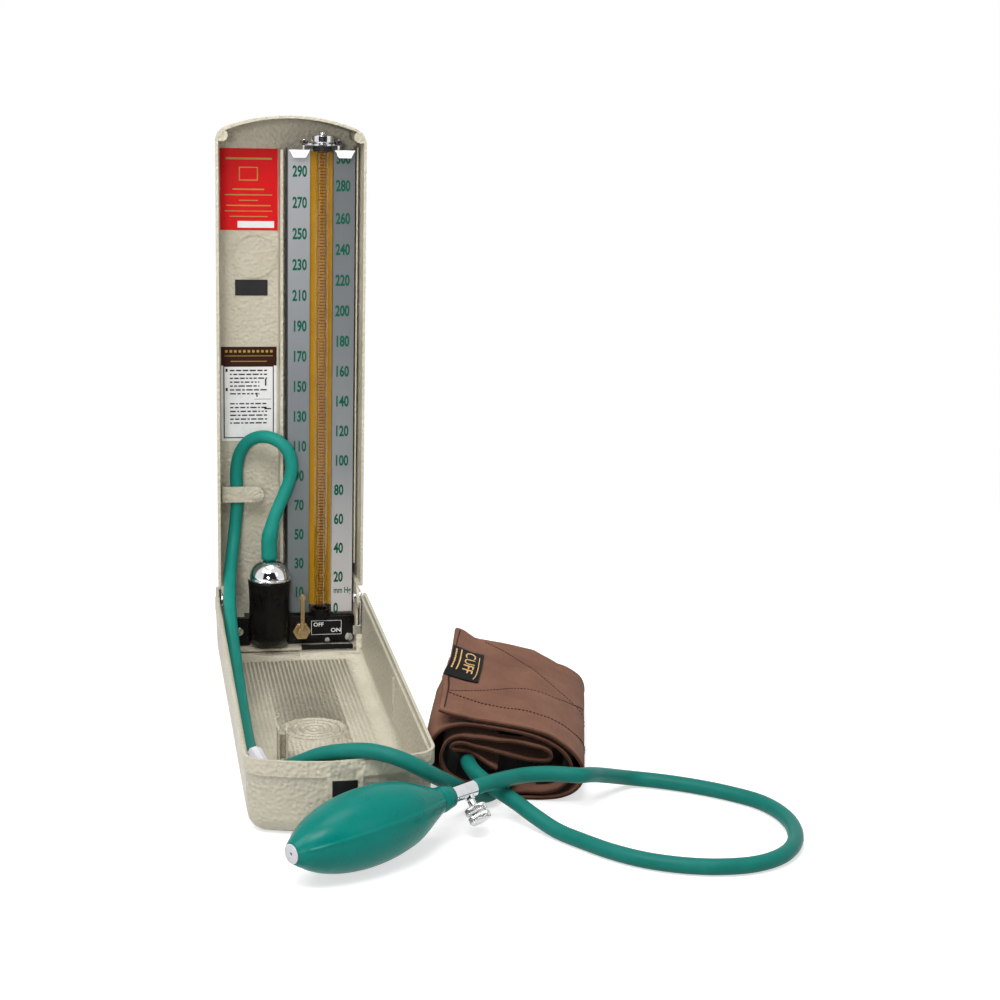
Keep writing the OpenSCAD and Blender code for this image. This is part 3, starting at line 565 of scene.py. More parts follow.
def mesh_of_text(text: str, heavy: float = 0, align: str = "CENTER") -> bpy.types.Mesh:
    """Makes a flat mesh of a short text, with capitals one unit tall, its middle or start at the origin."""
    curve = bpy.data.curves.new("print", "FONT")
    curve.body = text
    curve.size = CAPITAL_SIZE
    curve.offset = heavy
    curve.align_x = align
    curve.align_y = "CENTER"
    curve.resolution_u = 3
    return mesh_of_curve(curve)


@dataclass
class Print:
    """Ink on an upright sheet that faces the user, gathered into one mesh."""

    depth: float
    lift_mm: float = 0.06
    bm: Shape = field(default_factory=bmesh.new)

    def bar(self, x0: float, x1: float, z0: float, z1: float) -> None:
        """Prints a filled rectangle, in millimetres from the hinge."""
        middle = at_hinge((x0 + x1) / 2, self.depth - self.lift_mm, (z0 + z1) / 2)
        place = (Matrix.Translation(middle) @ Matrix.Rotation(math.pi / 2, 4, "X")
                 @ Matrix.Diagonal(((x1 - x0) * MM, (z1 - z0) * MM, 1, 1)))
        bmesh.ops.create_grid(self.bm, x_segments=1, y_segments=1, size=0.5, matrix=place)

    def outline(self, x0: float, x1: float, z0: float, z1: float, wide: float) -> None:
        """Prints a rectangle's outline with lines of the given width."""
        self.bar(x0, x1, z0, z0 + wide)
        self.bar(x0, x1, z1 - wide, z1)
        self.bar(x0, x0 + wide, z0 + wide, z1 - wide)
        self.bar(x1 - wide, x1, z0 + wide, z1 - wide)

    def words(self, text: str, x: float, z: float, tall: float, narrow: float = 1, heavy: float = 0,
              align: str = "CENTER") -> None:
        """Prints a short text, with its middle or its start at a place in millimetres from the hinge."""
        mesh = mesh_of_text(text, heavy, align)
        mesh.transform(Matrix.Translation(at_hinge(x, self.depth - self.lift_mm, z))
                       @ Matrix.Rotation(math.pi / 2, 4, "X")
                       @ Matrix.Diagonal((tall * narrow * MM, tall * MM, MM, 1)))
        self.bm.from_mesh(mesh)
        bpy.data.meshes.remove(mesh)

    def settle(self, name: str, material: Material) -> bpy.types.Object:
        """Makes the print a piece on the lid."""
        return adopt(self.bm, name, material, Body.LID, smooth=False)


# ---------- case


@dataclass
class Case:
    """Tray and lid, their fittings and the latch."""

    edge_mm: float = 0.25
    floor_mm: float = 5.0

    def dress(self) -> None:
        """Paints the case and rounds its pressed edges."""
        soften("tray_shell", CASE_PAINT, self.edge_mm, above_mm=self.floor_mm)
        soften("lid_shell", CASE_PAINT, 0.5)
        for node in ("divider_post", "latch_bracket", "hose_clip", "clip_screw"):
            soften(node, CASE_PAINT, 0.3)
        soften("latch_button", BLACK_PLASTIC, 0.5)
        for node in ("stay_left", "stay_right", "hinge_pin_left", "hinge_pin_right"):
            soften(node, CHROME, 0.15)
        coat("latch_spring", STEEL)


# ---------- manometer


@dataclass
class PressureScale:
    """Scale, glass tube and their printing."""

    zero_z: float = -6.0
    pitch: float = 0.977
    top: int = 300
    wing_y: float = 12.0
    left_x: float = 6.1
    right_x: float = 28.9
    figure_tall: float = 6.9
    figure_drop: float = 2.7
    figure_narrow: float = 0.64
    figure_heavy: float = 0.045
    tab_z: float = 283.2
    tube_x: float = 20.0
    tube_y: float = 10.0
    tube_radius: float = 4.04
    # how far a mark reaches round the tube from its middle, in degrees, and how tall it is
    long_mark: tuple[float, float] = (46, 0.5)
    short_mark: tuple[float, float] = (25, 0.62)

    def height(self, pressure: float) -> float:
        """Gives a pressure's height over the hinge, in millimetres."""
        return self.zero_z + self.pitch * pressure

    def dress(self) -> None:
        """Finishes the scale and prints it."""
        plate = soften("scale_plate", SCALE_METAL_PAINTED_REFLECTION, 0.12)
        plate.data.materials.append(TAB_METAL)
        front = at_hinge(0, self.wing_y - 1, self.tab_z)
        for face in plate.data.polygons:
            if face.center.y < front.y and face.center.z > front.z:
                face.material_index = 1
        soften("tube_collar", BLACK_PLASTIC, 0.2)
        for node, width in (("top_clamp", 0.2), ("clamp_studs", 0.2), ("tube_cap", 0.3)):
            soften(node, CHROME, width)
        coat("tube_backing", YELLOW_PAINT)
        coat("tube_seal", SEAL_RUBBER)
        coat("glass_tube", GLASS)
        self.print_figures()
        self.print_marks()

    def print_figures(self) -> None:
        """Prints the figures, a little unevenly: every twenty on the right, those between on the left."""
        ink = Print(self.wing_y)
        uneven = {0: -1.8, 280: 1.0, 300: -1.4}
        for pressure in range(0, self.top + 1, 10):
            level = self.height(pressure) - self.figure_drop + uneven.get(pressure, 0)
            x, align = (self.left_x, "CENTER") if pressure % 20 else (self.right_x, "LEFT")
            ink.words(str(pressure), x, level, self.figure_tall, self.figure_narrow, self.figure_heavy, align)
        ink.words("mm Hg", self.right_x, self.height(10.5) - 2.4, 4.2, 0.66, 0.03, "LEFT")
        ink.settle("scale_figures", GREEN_INK)

    def print_marks(self) -> None:
        """Prints the marks round the front of the tube, one for every two mm Hg."""
        bm = bmesh.new()
        for pressure in range(0, self.top + 1, 2):
            reach_deg, tall = self.short_mark if pressure % 10 else self.long_mark
            for vert in bmesh.ops.create_grid(bm, x_segments=6, y_segments=1, size=0.5)["verts"]:
                angle = math.radians(reach_deg) * 2 * vert.co.x
                vert.co = at_hinge(self.tube_x + self.tube_radius * math.sin(angle),
                                   self.tube_y - self.tube_radius * math.cos(angle),
                                   self.height(pressure) + tall * vert.co.y)
        adopt(bm, "tube_marks", TICK_INK, Body.LID, smooth=False)


@dataclass
class TankLock:
    """Mercury tank, its block and the lever that locks it."""

    plate_y: float = 6.0

    def dress(self) -> None:
        """Finishes the tank's pieces and prints the lever's two places."""
        soften("tank_plate", BLACK_ENAMEL, 0.4)
        soften("tank_body", BLACK_ENAMEL, 0.8)
        soften("tank_cap", CHROME, 0.2)
        soften("gland_nut", BRASS, 0.4)
        soften("tank_lever", BRASS, 0.3)
        soften("plate_screws", STEEL, 0.15)
        soften("stop_pin", STEEL, 0.2)
        coat("mercury", LIQUID_METAL)
        coat("tank_gasket", SEAL_RUBBER)
        coat("plate_gasket", SEAL_RUBBER)
        ink = Print(self.plate_y)
        ink.outline(13.8, 33.7, -26.4, -16.8, 0.25)
        ink.words("OFF", 18.6, -19.6, 2.7, 1.05, 0.02)
        ink.words("ON", 30, -23.6, 2.7, 1.15, 0.02)
        ink.settle("lever_print", WHITE_FILM)


@dataclass
class PanelLabels:
    """The printed films on the lid's panel, with generic lines in place of words."""

    panel_y: float = 33.1
    left: float = -42.6
    red_middle: float = -24.6
    # half width and height of each bar on the red film
    red_bars: Pairs = ((10, 0.8), (15, 0.6), (6, 0.5), (14, 0.7), (15, 0.5), (12, 0.5))

    def dress(self) -> None:
        """Finishes the films and prints them."""
        coat("red_label", RED_FILM)
        coat("name_plate", BLACK_PLASTIC)
        coat("instruction_label", WHITE_FILM)
        self.print_red()
        self.print_instructions()

    def print_red(self) -> None:
        """Prints the red film's plain bars and its blank strip."""
        dark = Print(self.panel_y)
        dark.outline(-30.6, -18.6, 267.4, 276, 0.6)
        dark.bar(-39, -9.8, 280.6, 281.8)
        for index, (half, tall) in enumerate(self.red_bars):
            level = 261.5 - 3.4 * index
            dark.bar(self.red_middle - half, self.red_middle + half, level, level + tall)
        dark.settle("red_label_print", OCHRE_INK)
        strip = Print(self.panel_y)
        strip.bar(-31.6, -8.4, 237.6, 241.8)
        strip.settle("red_label_strip", WHITE_FILM)

    def print_instructions(self) -> None:
        """Prints the white film's header, frame and ruled lines."""
        header = Print(self.panel_y)
        header.bar(self.left, -6.8, 148.6, 161)
        header.outline(self.left + 1.4, -8.6, 100.8, 148.6, 0.7)
        header.settle("instruction_frame", MAROON_INK)
        gold = Print(self.panel_y, 0.1)
        for column in range(11):
            gold.bar(-40 + 2.9 * column, -38.4 + 2.9 * column, 157.2, 158.8)
        gold.bar(-40.4, -9.2, 154.8, 155.2)
        gold.bar(-36.4, -13.2, 151.2, 151.7)
        gold.settle("instruction_header", OCHRE_INK)
        lines = Print(self.panel_y)
        chance = random.Random(5)
        for row in range(13):
            level = 145 - 2.55 * row - (4 if row > 6 else 0)
            x = -37
            end = -13 if row not in (3, 4, 6) else -18
            while x < end:
                run = chance.uniform(1.2, 4.2)
                lines.bar(x, min(x + run, end), level, level + 0.9)
                x += run + 0.9
        for bar in ((-39.8, -38.4, 144.6, 146.6), (-39.8, -38.4, 132, 134), (-14.4, -13.4, 135.4, 140),
                    (-20, -19.1, 128, 130.8), (-21.4, -10.4, 126.4, 126.7), (-14.8, -10.4, 119.8, 120.6)):
            lines.bar(*bar)
        lines.settle("instruction_lines", DARK_INK)


# ---------- hoses


@dataclass
class Hose:
    """One green rubber hose along a listed route."""

    name: str
    route: Sequence[Point]
    diameter: float = 8.2
    wide_start: Sequence[float] = ()
    rubber: Material = HOSE_GREEN

    def points(self) -> list[Vector]:
        """Gives the smooth centreline in metres."""
        return smooth_line([Vector(p) * MM for p in self.route], 4)

    def length(self) -> float:
        """Gives the centreline's length in metres."""
        line = self.points()
        return sum((b - a).length for a, b in zip(line, line[1:]))

    def make(self, node: str, body: Body | None) -> bpy.types.Object:
        """Builds the hose as a mesh tube, riding on a body or on none yet, in its node's place."""
        curve = bpy.data.curves.new(self.name, "CURVE")
        curve.dimensions = "3D"
        curve.bevel_depth = self.diameter / 2 * MM
        curve.bevel_resolution = 6
        curve.use_fill_caps = True
        line = self.points()
        spline = curve.splines.new("POLY")
        spline.points.add(len(line) - 1)
        for index, (point, place) in enumerate(zip(spline.points, line)):
            point.co = (*place, 1)
            point.radius = self.wide_start[index] if index < len(self.wide_start) else 1
        mesh = mesh_of_curve(curve)
        bm = bmesh.new()
        bm.from_mesh(mesh)
        bpy.data.meshes.remove(mesh)
        bmesh.ops.remove_doubles(bm, verts=bm.verts, dist=WELD_M)
        bmesh.ops.recalc_face_normals(bm, faces=bm.faces)
        tube = adopt(bm, self.name, self.rubber, body)
        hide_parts(node)
        return tube


TANK_ROUTE: Sequence[Point] = (
    (-13.8, 141.5, 64.6), (-13.8, 141.5, 73), (-13.4, 141.6, 80), (-10.6, 142.4, 91), (-7, 143.6, 100),
    (-3.2, 144.4, 108.5), (-0.2, 144.6, 117), (0.9, 144.7, 125.5), (-0.8, 144.9, 133.4),
    (-5.8, 146, 139.8), (-12.6, 149.6, 143), (-20, 154.8, 142.4), (-26.6, 159.8, 138),
    (-31, 163.4, 130.6), (-33.1, 165.4, 121.4),
    (-33.4, 166, 111), (-33, 166, 102.6), (-33.2, 166, 94), (-34.2, 164.6, 84), (-35.6, 160.4, 73),
    (-37.4, 153.4, 62.6), (-39, 143, 53.6), (-40, 130, 47.2), (-40.6, 120, 42.4), (-40.9, 108, 37.4),
    (-41, 92, 32.6), (-41, 72, 28.2), (-41, 52, 24.8), (-41, 32, 21.8), (-41, 12, 19.2),
    (-41, -8, 17.2), (-41, -28, 15.8), (-41, -48, 15), (-41, -68, 15), (-41, -88, 16.4),
    (-41.1, -106, 20.2), (-41.2, -122, 26.2), (-41.3, -135, 32))
CUFF_ROUTE: Sequence[Point] = (
    (-34.3, -150.5, 29.2), (-28.9, -152.5, 30.6), (-19, -156, 35.3), (-12.7, -159, 38.9),
    (-6, -162.5, 41.6), (0.2, -166, 43.4), (6.6, -169.5, 44.9), (13, -173, 45.7), (19.1, -176.5, 45.5),
    (25.8, -179, 44), (32.3, -180, 41.3), (39.4, -178.5, 36.8), (47, -174, 31), (55.1, -166, 24.1),
    (63.1, -156.5, 16.7), (70.6, -147.6, 10), (78.2, -140.6, 6.4), (84.8, -135.8, 6.6),
    (90.2, -132, 9.4), (93.6, -126.8, 11))
BULB_ROUTE: Sequence[Point] = (
    (72.7, -121, 18.6), (72.7, -127.4, 18.4), (74, -134, 17.4), (76.6, -141, 16.2),
    (80.4, -148.6, 15), (85.6, -157, 13.2), (91.6, -166, 11), (98.8, -177, 7.8), (107.6, -188.8, 4.6),
    (117.6, -203, 4.3), (129, -217.6, 4.3), (143, -230, 4.3), (160, -238.6, 4.3), (178, -242.6, 4.3),
    (196, -241.4, 4.3), (212, -233, 4.3), (223.6, -218, 4.3), (229.4, -199, 4.3), (229.4, -180, 4.3),
    (223.6, -163, 4.3), (212, -149.6, 4.3), (197, -137.4, 4.3), (180, -127.4, 4.4),
    (162.6, -122.4, 5.4), (142.7, -136.5, 13.3), (133.2, -147.8, 18.2), (126.2, -152.8, 20),
    (111.6, -151.4, 21.1), (97.4, -153.3, 21.7), (84, -161.4, 23), (73.6, -168.3, 23.6),
    (66.9, -172.7, 23.7))


@dataclass
class HoseSet:
    """The three hoses and the elbow that joins two of them."""

    def dress(self) -> None:
        coat("hose_connector", DULL_METAL)
        tank = Hose("tank_hose_tube", TANK_ROUTE, wide_start=[1.26] * 9 + [1.2, 1.12, 1.05],
                    rubber=PALE_HOSE_GREEN)
        tube = tank.make("tank_hose", None)
        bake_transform(tube)
        round(tank.length(), 3)
        [list(p) for p in tank.points()]
        for name, route, node in (("cuff_hose_tube", CUFF_ROUTE, "cuff_hose"),
                                  ("bulb_hose_tube", BULB_ROUTE, "bulb_hose")):
            hose = Hose(name, route)
            tube = hose.make(node, Body.BASE)
            round(hose.length(), 3)
            [list(p) for p in hose.points()]


# ---------- hand bulb


@dataclass
class HandBulb:
    """Rubber bulb with its moulding seam, tail disc, valve barrel and release knob."""

    tail: Point = (-30.8, -236.1, 19.6)
    yaw_deg: float = 32.9
    pitch_deg: float = 2.0
    seam_deg: float = 71.0
    seam_tall: float = 0.7
    seam_half: float = 0.55
    seam_run: tuple[float, float] = (4.0, 91.0)
    sag: float = 0.25
    skin_steps: int = 160
    screw_at: float = 111.0
    screw_deg: float = -41.0
    knob_radius: float = 5.8
    knurls: int = 40
    knurl_share: float = 0.025

    def axis(self) -> Matrix:
        """Gives the place of the bulb's own axis, which runs from the tail to the neck."""
        return (Matrix.Translation(Vector(self.tail) * MM)
                @ Matrix.Rotation(math.radians(self.yaw_deg), 4, "Z")
                @ Matrix.Rotation(math.radians(90 - self.pitch_deg), 4, "Y"))

    def dress(self) -> None:
        """Builds the bulb and finishes its metal pieces."""
        self.make_bulb()
        soften("inlet_insert", DULL_METAL, 0.2)
        soften("valve_body", CHROME, 0.3)
        coat("inlet_disc", SEAL_RUBBER)
        coat("outlet_disc", SEAL_RUBBER)
        self.make_knob()

    def make_bulb(self) -> None:
        """Spins the bulb's skin and raises the moulding seam on two sides."""
        outline = [(5.0, -0.1), (5.5, 0.2), (7.6, 3), (11, 8), (14.4, 15), (17.4, 25), (19, 35), (19.5, 44),
                   (19.2, 53), (18, 62), (16.2, 70), (13.4, 77), (11, 82), (9.2, 86), (7.6, 89.5),
                   (6.6, 92)]
        line = smooth_line(outline, 4)
        skin = [(p.x, p.y) for p in line] + [(6.2, 92.5), (6.7, 93.1), (6.7, 94.3), (5.6, 100.2),
                                             (5.2, 100.6), (4.2, 100.6), (4.2, 94)]
        bm = spin_profile(skin, self.skin_steps)
        for vert in bm.verts:
            along = vert.co.z / MM
            radius = math.hypot(vert.co.x, vert.co.y)
            if not self.seam_run[0] < along < self.seam_run[1] or radius < 5 * MM:
                continue
            angle = math.atan2(vert.co.y, vert.co.x) - math.radians(self.seam_deg)
            off = abs((angle + math.pi / 2) % math.pi - math.pi / 2)
            ridge = self.seam_tall * MM * math.exp(-(off * radius / (self.seam_half * MM)) ** 2)
            grow = 1 + (ridge + self.sag * MM * math.cos(2 * angle)) / radius
            vert.co.xy *= grow
        bmesh.ops.transform(bm, matrix=self.axis(), verts=bm.verts)
        piece = adopt(bm, "bulb_skin", BULB_GREEN, Body.BASE)
        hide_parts("bulb")

    def make_knob(self) -> None:
        """Spins the release knob and cuts its fine grooves."""
        place = (self.axis() @ Matrix.Translation((0, 0, self.screw_at * MM))
                 @ Matrix.Rotation(math.radians(self.screw_deg), 4, "Z")
                 @ Matrix.Rotation(math.pi / 2, 4, "Y"))
        radius = self.knob_radius
        profile = [(0, 2), (1.5, 2), (1.5, 5.5), (2.1, 5.5), (2.2, 5.7), (2.2, 8.9), (radius - 0.8, 8.9),
                   (radius - 0.1, 9.5), (radius, 9.9), (radius, 12.1), (radius - 0.3, 12.6),
                   (radius - 1.2, 12.8), (radius - 1.2, 13.4), (radius - 0.3, 13.6), (radius, 14),
                   (radius, 16.5), (radius - 0.3, 17.1), (radius - 1.2, 17.7), (2, 18.2), (0, 18.3)]
        bm = spin_profile(profile, 6 * self.knurls)
        for vert in bm.verts:
            reach = math.hypot(vert.co.x, vert.co.y)
            if reach > (radius - 0.35) * MM:
                wave = math.cos(self.knurls * math.atan2(vert.co.y, vert.co.x))
                vert.co.xy *= 1 + self.knurl_share * (wave - 1)
        bmesh.ops.transform(bm, matrix=place, verts=bm.verts)
        piece = adopt(bm, "knob_knurled", STEEL, Body.KNOB)
        piece.data.set_sharp_from_angle(angle=math.radians(50))
        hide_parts("release_knob")


# ---------- cuff


def between(value: float, stops: Pairs) -> float:
    """Reads a value off a line through stops, level beyond its ends."""
    if value <= stops[0][0]:
        return stops[0][1]
    for (a, low), (b, high) in zip(stops, stops[1:]):
        if value <= b:
            return low + (high - low) * (value - a) / (b - a)
    return stops[-1][1]


@dataclass
class RolledCuff:
    """Cloth cuff rolled up with its free end on top, its woven label and its seams."""

    turn_deg: float = -13.0
    back: float = 38.0
    wide: float = 145.0
    thick: float = 1.6
    step: float = 2.0
    # how wide the doubled hems are, and how thick the cloth is inside them, as a share
    hem_wide: float = 3.2
    thin_share: float = 0.55
    # thread width of each seam, and a stitch's length with its gap and the share of it that shows
    threads: Sequence[float] = (0.9, 0.45, 0.7, 0.45, 0.5)
    stitch: float = 1.9
    shown: float = 0.62
    edge_thread: float = 0.34
    # the label's near corner from the free end and from the front edge, its size and its thickness
    label_at: tuple[float, float] = (0.4, 60)
    label_size: tuple[float, float] = (18.6, 52.5)
    label_thick: float = 0.3

    # cloth's middle line at the front end: across and height, from the free end inwards
    front: Pairs = (
        (82.4, 48.2), (90, 45.9), (97, 44.4), (105, 43), (113, 41.9), (123, 40.5), (133, 38.6),
        (141.5, 35.9), (148.6, 31.8), (154.3, 26.9), (158.6, 21.3), (160.3, 15.4), (158.6, 9.8),
        (154, 5.2), (147, 2.5), (138, 1.4), (125, 1.2), (112, 1.2), (99, 1.4), (89, 3.4),
        (82.6, 8.2), (79.2, 15), (78, 22.4), (78.6, 29.6), (81.6, 35), (86.6, 38.6), (92, 40.2),
        (98, 40.6), (105, 40.1), (113, 39.1), (123.5, 37.5), (133, 35.3), (141.4, 32), (148, 27.8),
        (152.4, 22.6), (153.8, 17), (152.2, 11.8), (147.8, 7.6), (141.5, 5), (133, 4.1), (122, 3.9),
        (110, 4), (99, 4.9), (91, 7.8), (86, 13), (84, 19.6), (84.6, 26.4), (87.6, 31.2),
        (93.4, 33.6), (100.3, 33.9), (113.4, 32.5), (123.6, 31.6), (132.8, 30.3), (139.6, 28.2),
        (142.8, 25.2), (141.9, 22.2), (137.4, 20.6), (131, 20.6), (122, 23), (113, 26), (105.4, 28),
        (97, 29.8), (91.8, 29.6), (89.4, 28.4), (88.8, 26.6), (90.6, 25.2), (98, 24.9),
        (103.4, 22.4), (109.3, 19), (114, 16.6))
    # how far the top lies over that line at the back end, by its place across
    shoulder: Pairs = (
        (88, 0), (94, -0.5), (110, -0.3), (119, -1), (129.5, -1.2), (135.4, -3.1), (143.8, -5.2),
        (153.8, -2.3), (159, 0.4), (163, 0))
    # seams on the free end: pairs of distance from the free end and from the front edge
    seams: Sequence[Pairs] = (
        ((2.6, 143), (2.0, 120), (2.2, 90), (3.4, 60), (2.6, 30), (2.4, 4)),
        ((3, 35.5), (17, 46.5), (29, 55), (39.5, 64), (49.5, 68), (61.5, 70.5), (73, 77.5), (86, 93)),
        ((3.5, 32), (18, 28.5), (30.5, 26), (45.5, 27.5), (58, 28), (75, 31), (90, 38), (104, 44)),
        ((18.5, 140.5), (31, 128.5), (43, 113.5), (54.5, 99), (69, 84), (86, 80), (104, 76)),
        ((3, 142.8), (60, 142.8), (118, 142.8)))

    def frame_point(self, across: float, along: float, height: float) -> Vector:
        """Gives a place in the frame from the cuff's own directions, in millimetres."""
        turn = math.radians(self.turn_deg)
        return Vector((across * math.cos(turn) - along * math.sin(turn),
                       across * math.sin(turn) + along * math.cos(turn), height)) * MM

    @cached_property
    def line(self) -> list[Vector]:
        """Gives the cloth's middle line as evenly spaced points."""
        raw = smooth_line(self.front, 8)
        walked = [0.0]
        for a, b in zip(raw, raw[1:]):
            walked.append(walked[-1] + (b - a).length)
        count = int(walked[-1] / self.step)
        made = []
        at = 0
        for index in range(count + 1):
            goal = walked[-1] * index / count
            while at < len(raw) - 2 and walked[at + 1] < goal:
                at += 1
            share = (goal - walked[at]) / max(1e-9, walked[at + 1] - walked[at])
            made.append(raw[at].lerp(raw[at + 1], share))
        return made

    def surface(self, index: float, along: float, out: float = 0) -> Vector:
        """Gives a place on the cloth.

        Args:
            index: The place along the cloth's middle line, in points.
            along: The distance from the front edge, in millimetres.
            out: The height over the middle of the cloth on its outer side.

        Returns:
            The place in the frame.
        """
        line = self.line
        low = max(0, min(int(index), len(line) - 2))
        point = line[low].lerp(line[low + 1], index - low)
        slope = line[min(low + 2, len(line) - 1)] - line[max(low - 1, 0)]
        normal = Vector((-slope.y, slope.x, 0)).normalized()
        share = max(0.0, along / self.wide)
        walked = index * self.step
        inner = between(walked, ((215, 0), (300, 0.45), (400, 1)))
        calm = between(share, ((0, 0), (0.14, 1)))
        fold = noise.noise(Vector((walked / 24, along / 55, 3))) * (0.35 + 0.9 * inner)
        ripple = noise.noise(Vector((walked / 8, along / 26, 9))) * (0.2 + 0.2 * inner)
        push = fold * calm + ripple + out
        across = point.x + normal.x * push
        height = point.y + normal.y * push
        height += between(across, self.shoulder) * between(point.y, ((6, 0), (38, 1))) * share ** 1.4
        height += 3.6 * share ** 4 * between(walked, ((0, 1), (4, 0.75), (12, 0)))
        side = between(walked, ((170, 0), (186, 1), (203, 1), (217, 0)))
        across -= 3.3 * side * between(share, ((0, 0), (0.1, 1), (0.6, 1), (0.85, 0)))
        if walked < 30:
            across -= 2.2 * (1 - walked / 30) * math.exp(-((share - 0.42) / 0.12) ** 2)
        rounding = between(walked, ((0, 1), (2, 0.45), (5, 0))) * 4 * share ** 10
        wave = 1.1 * math.sin(walked / 34 + 0.6) * (1 - 0.5 * inner)
        wave += 5 * inner * max(0.0, noise.noise(Vector((walked / 26, 4, 5))) + 0.25)
        back = self.back - self.wide + along - rounding + wave * (1 - share)
        place = self.frame_point(across, back, height)
        place.z = max(place.z, (self.thick / 2 + 0.1) * MM)
        return place

    def dress(self) -> None:
        """Builds the cloth, the label and the seams."""
        self.make_cloth()
        coat("cuff_bladder", SEAL_RUBBER)
        self.sew()
        self.make_label()

    def make_cloth(self) -> None:
        """Lays out the cloth, rolls it up and gives it its thickness, more at its hems."""
        rows = len(self.line)
        columns = int(self.wide / self.step) + 1
        bm = bmesh.new()
        uv = bm.loops.layers.uv.new("cloth")
        hems = bm.verts.layers.deform.verify()
        bmesh.ops.create_grid(bm, x_segments=rows - 1, y_segments=columns - 1, size=0.5)
        for face in bm.faces:
            for loop in face.loops:
                loop[uv].uv = ((loop.vert.co.x + 0.5) * rows * self.step * MM,
                               (loop.vert.co.y + 0.5) * self.wide * MM)
        for vert in bm.verts:
            index = (vert.co.x + 0.5) * (rows - 1)
            along = (vert.co.y + 0.5) * self.wide
            edge = min(along, self.wide - along, index * self.step)
            vert[hems][0] = 1 if edge < self.hem_wide else self.thin_share
            vert.co = self.surface(index, along)
        cloth = adopt(bm, "cuff_cloth", CUFF_CLOTH, Body.BASE)
        cloth.vertex_groups.new(name="hems")
        self.thicken(cloth, self.thick).vertex_group = "hems"
        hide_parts("cuff")

    @staticmethod
    def thicken(piece: bpy.types.Object, thick: float) -> bpy.types.Modifier:
        """Gives a cloth its thickness, half of it to each side."""
        wall = piece.modifiers.new("cloth", "SOLIDIFY")
        wall.thickness = thick * MM
        wall.offset = 0
        return wall

    def sew(self) -> None:
        """Lays the stitches of the hems and seams on the outer face, and the seam of the front edge."""
        bm = bmesh.new()
        for seam, wide in zip(self.seams, self.threads):
            self.stitch_along(bm, smooth_line(seam, 40), wide)
        adopt(bm, "cuff_stitches", THREAD, Body.BASE, smooth=False)
        edge = bmesh.new()
        halves = int((len(self.line) - 1.001) * 2)
        places = [self.surface(index / 2, -0.02) for index in range(halves)]
        for a, b in zip(places, places[1:]):
            self.lay_thread(edge, a, b, self.edge_thread)
        adopt(edge, "cuff_edge_seam", THREAD, Body.BASE, smooth=False)

    def stitch_along(self, bm: Shape, route: list[Vector], wide_mm: float) -> None:
        """Adds stitches along a route on the cloth.

        Args:
            bm: The shape that they go into.
            route: Distances from the free end and from the front edge.
            wide_mm: The width of the thread.
        """
        travelled = 0.0
        start = route[0]
        face = self.thick / 2 * 0.6
        for a, b in zip(route, route[1:]):
            travelled += (b - a).length
            if travelled < self.stitch:
                continue
            ends = [self.surface(spot.x / self.step, spot.y, face)
                    for spot in (start, start.lerp(b, self.shown))]
            self.lay_thread(bm, *ends, wide_mm)
            start, travelled = b, 0.0

    def lay_thread(self, bm: Shape, start: Vector, end: Vector, wide_mm: float) -> None:
        """Adds one short length of thread between two places in the frame."""
        way = end - start
        place = Matrix.Translation((start + end) / 2) @ way.to_track_quat("X", "Z").to_matrix().to_4x4()
        bmesh.ops.create_cube(bm, size=1, matrix=place @ Matrix.Diagonal(
            (way.length, wide_mm * MM, wide_mm * MM, 1)))

    def on_label(self, across: float, along: float, lift: float) -> Vector:
        """Gives a place on the label from the label's own corner, in millimetres."""
        return self.surface((self.label_at[0] + across) / self.step, self.label_at[1] + along,
                            self.thick / 2 + lift)

    def make_label(self) -> None:
        """Lays the woven label over the free end, with its gold lines and word."""
        bm = bmesh.new()
        uv = bm.loops.layers.uv.new("cloth")
        bmesh.ops.create_grid(bm, x_segments=12, y_segments=30, size=0.5)
        for face in bm.faces:
            for loop in face.loops:
                loop[uv].uv = (loop.vert.co.x * 0.019, loop.vert.co.y * 0.053)
        wide, tall = self.label_size
        for vert in bm.verts:
            vert.co = self.on_label((vert.co.x + 0.5) * wide, (vert.co.y + 0.5) * tall, self.label_thick)
        label = adopt(bm, "cuff_label_cloth", LABEL_CLOTH, Body.BASE)
        self.thicken(label, self.label_thick)
        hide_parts("cuff_label")
        gold = bmesh.new()
        for route, thread in ((((5.2, 13), (5.4, 30), (5.4, 48)), 0.7),
                              (((15.6, 4), (16.6, 14), (16.4, 44)), 0.5)):
            points = smooth_line(route, 14)
            places = [self.on_label(spot.x, spot.y, 0.5) for spot in points]
            for a, b in zip(places, places[1:]):
                self.lay_thread(gold, a, b, thread)
        for index in range(9):
            near = 14 + index * 3.8
            self.lay_thread(gold, self.on_label(2.4, near, 0.45), self.on_label(2.4, near + 2.2, 0.45), 0.9)
        word = mesh_of_text("CUFF")
        word.transform(Matrix.Rotation(-math.pi / 2, 4, "Z") @ Matrix.Diagonal((11.5, 6.4, 1, 1)))
        first = len(gold.verts)
        gold.from_mesh(word)
        bpy.data.meshes.remove(word)
        gold.verts.ensure_lookup_table()
        for vert in gold.verts[first:]:
            vert.co = self.on_label(10.8 + vert.co.x, 31 + vert.co.y, 0.5)
        adopt(gold, "cuff_label_gold", GOLD_THREAD, Body.BASE, smooth=False)


# ---------- studio


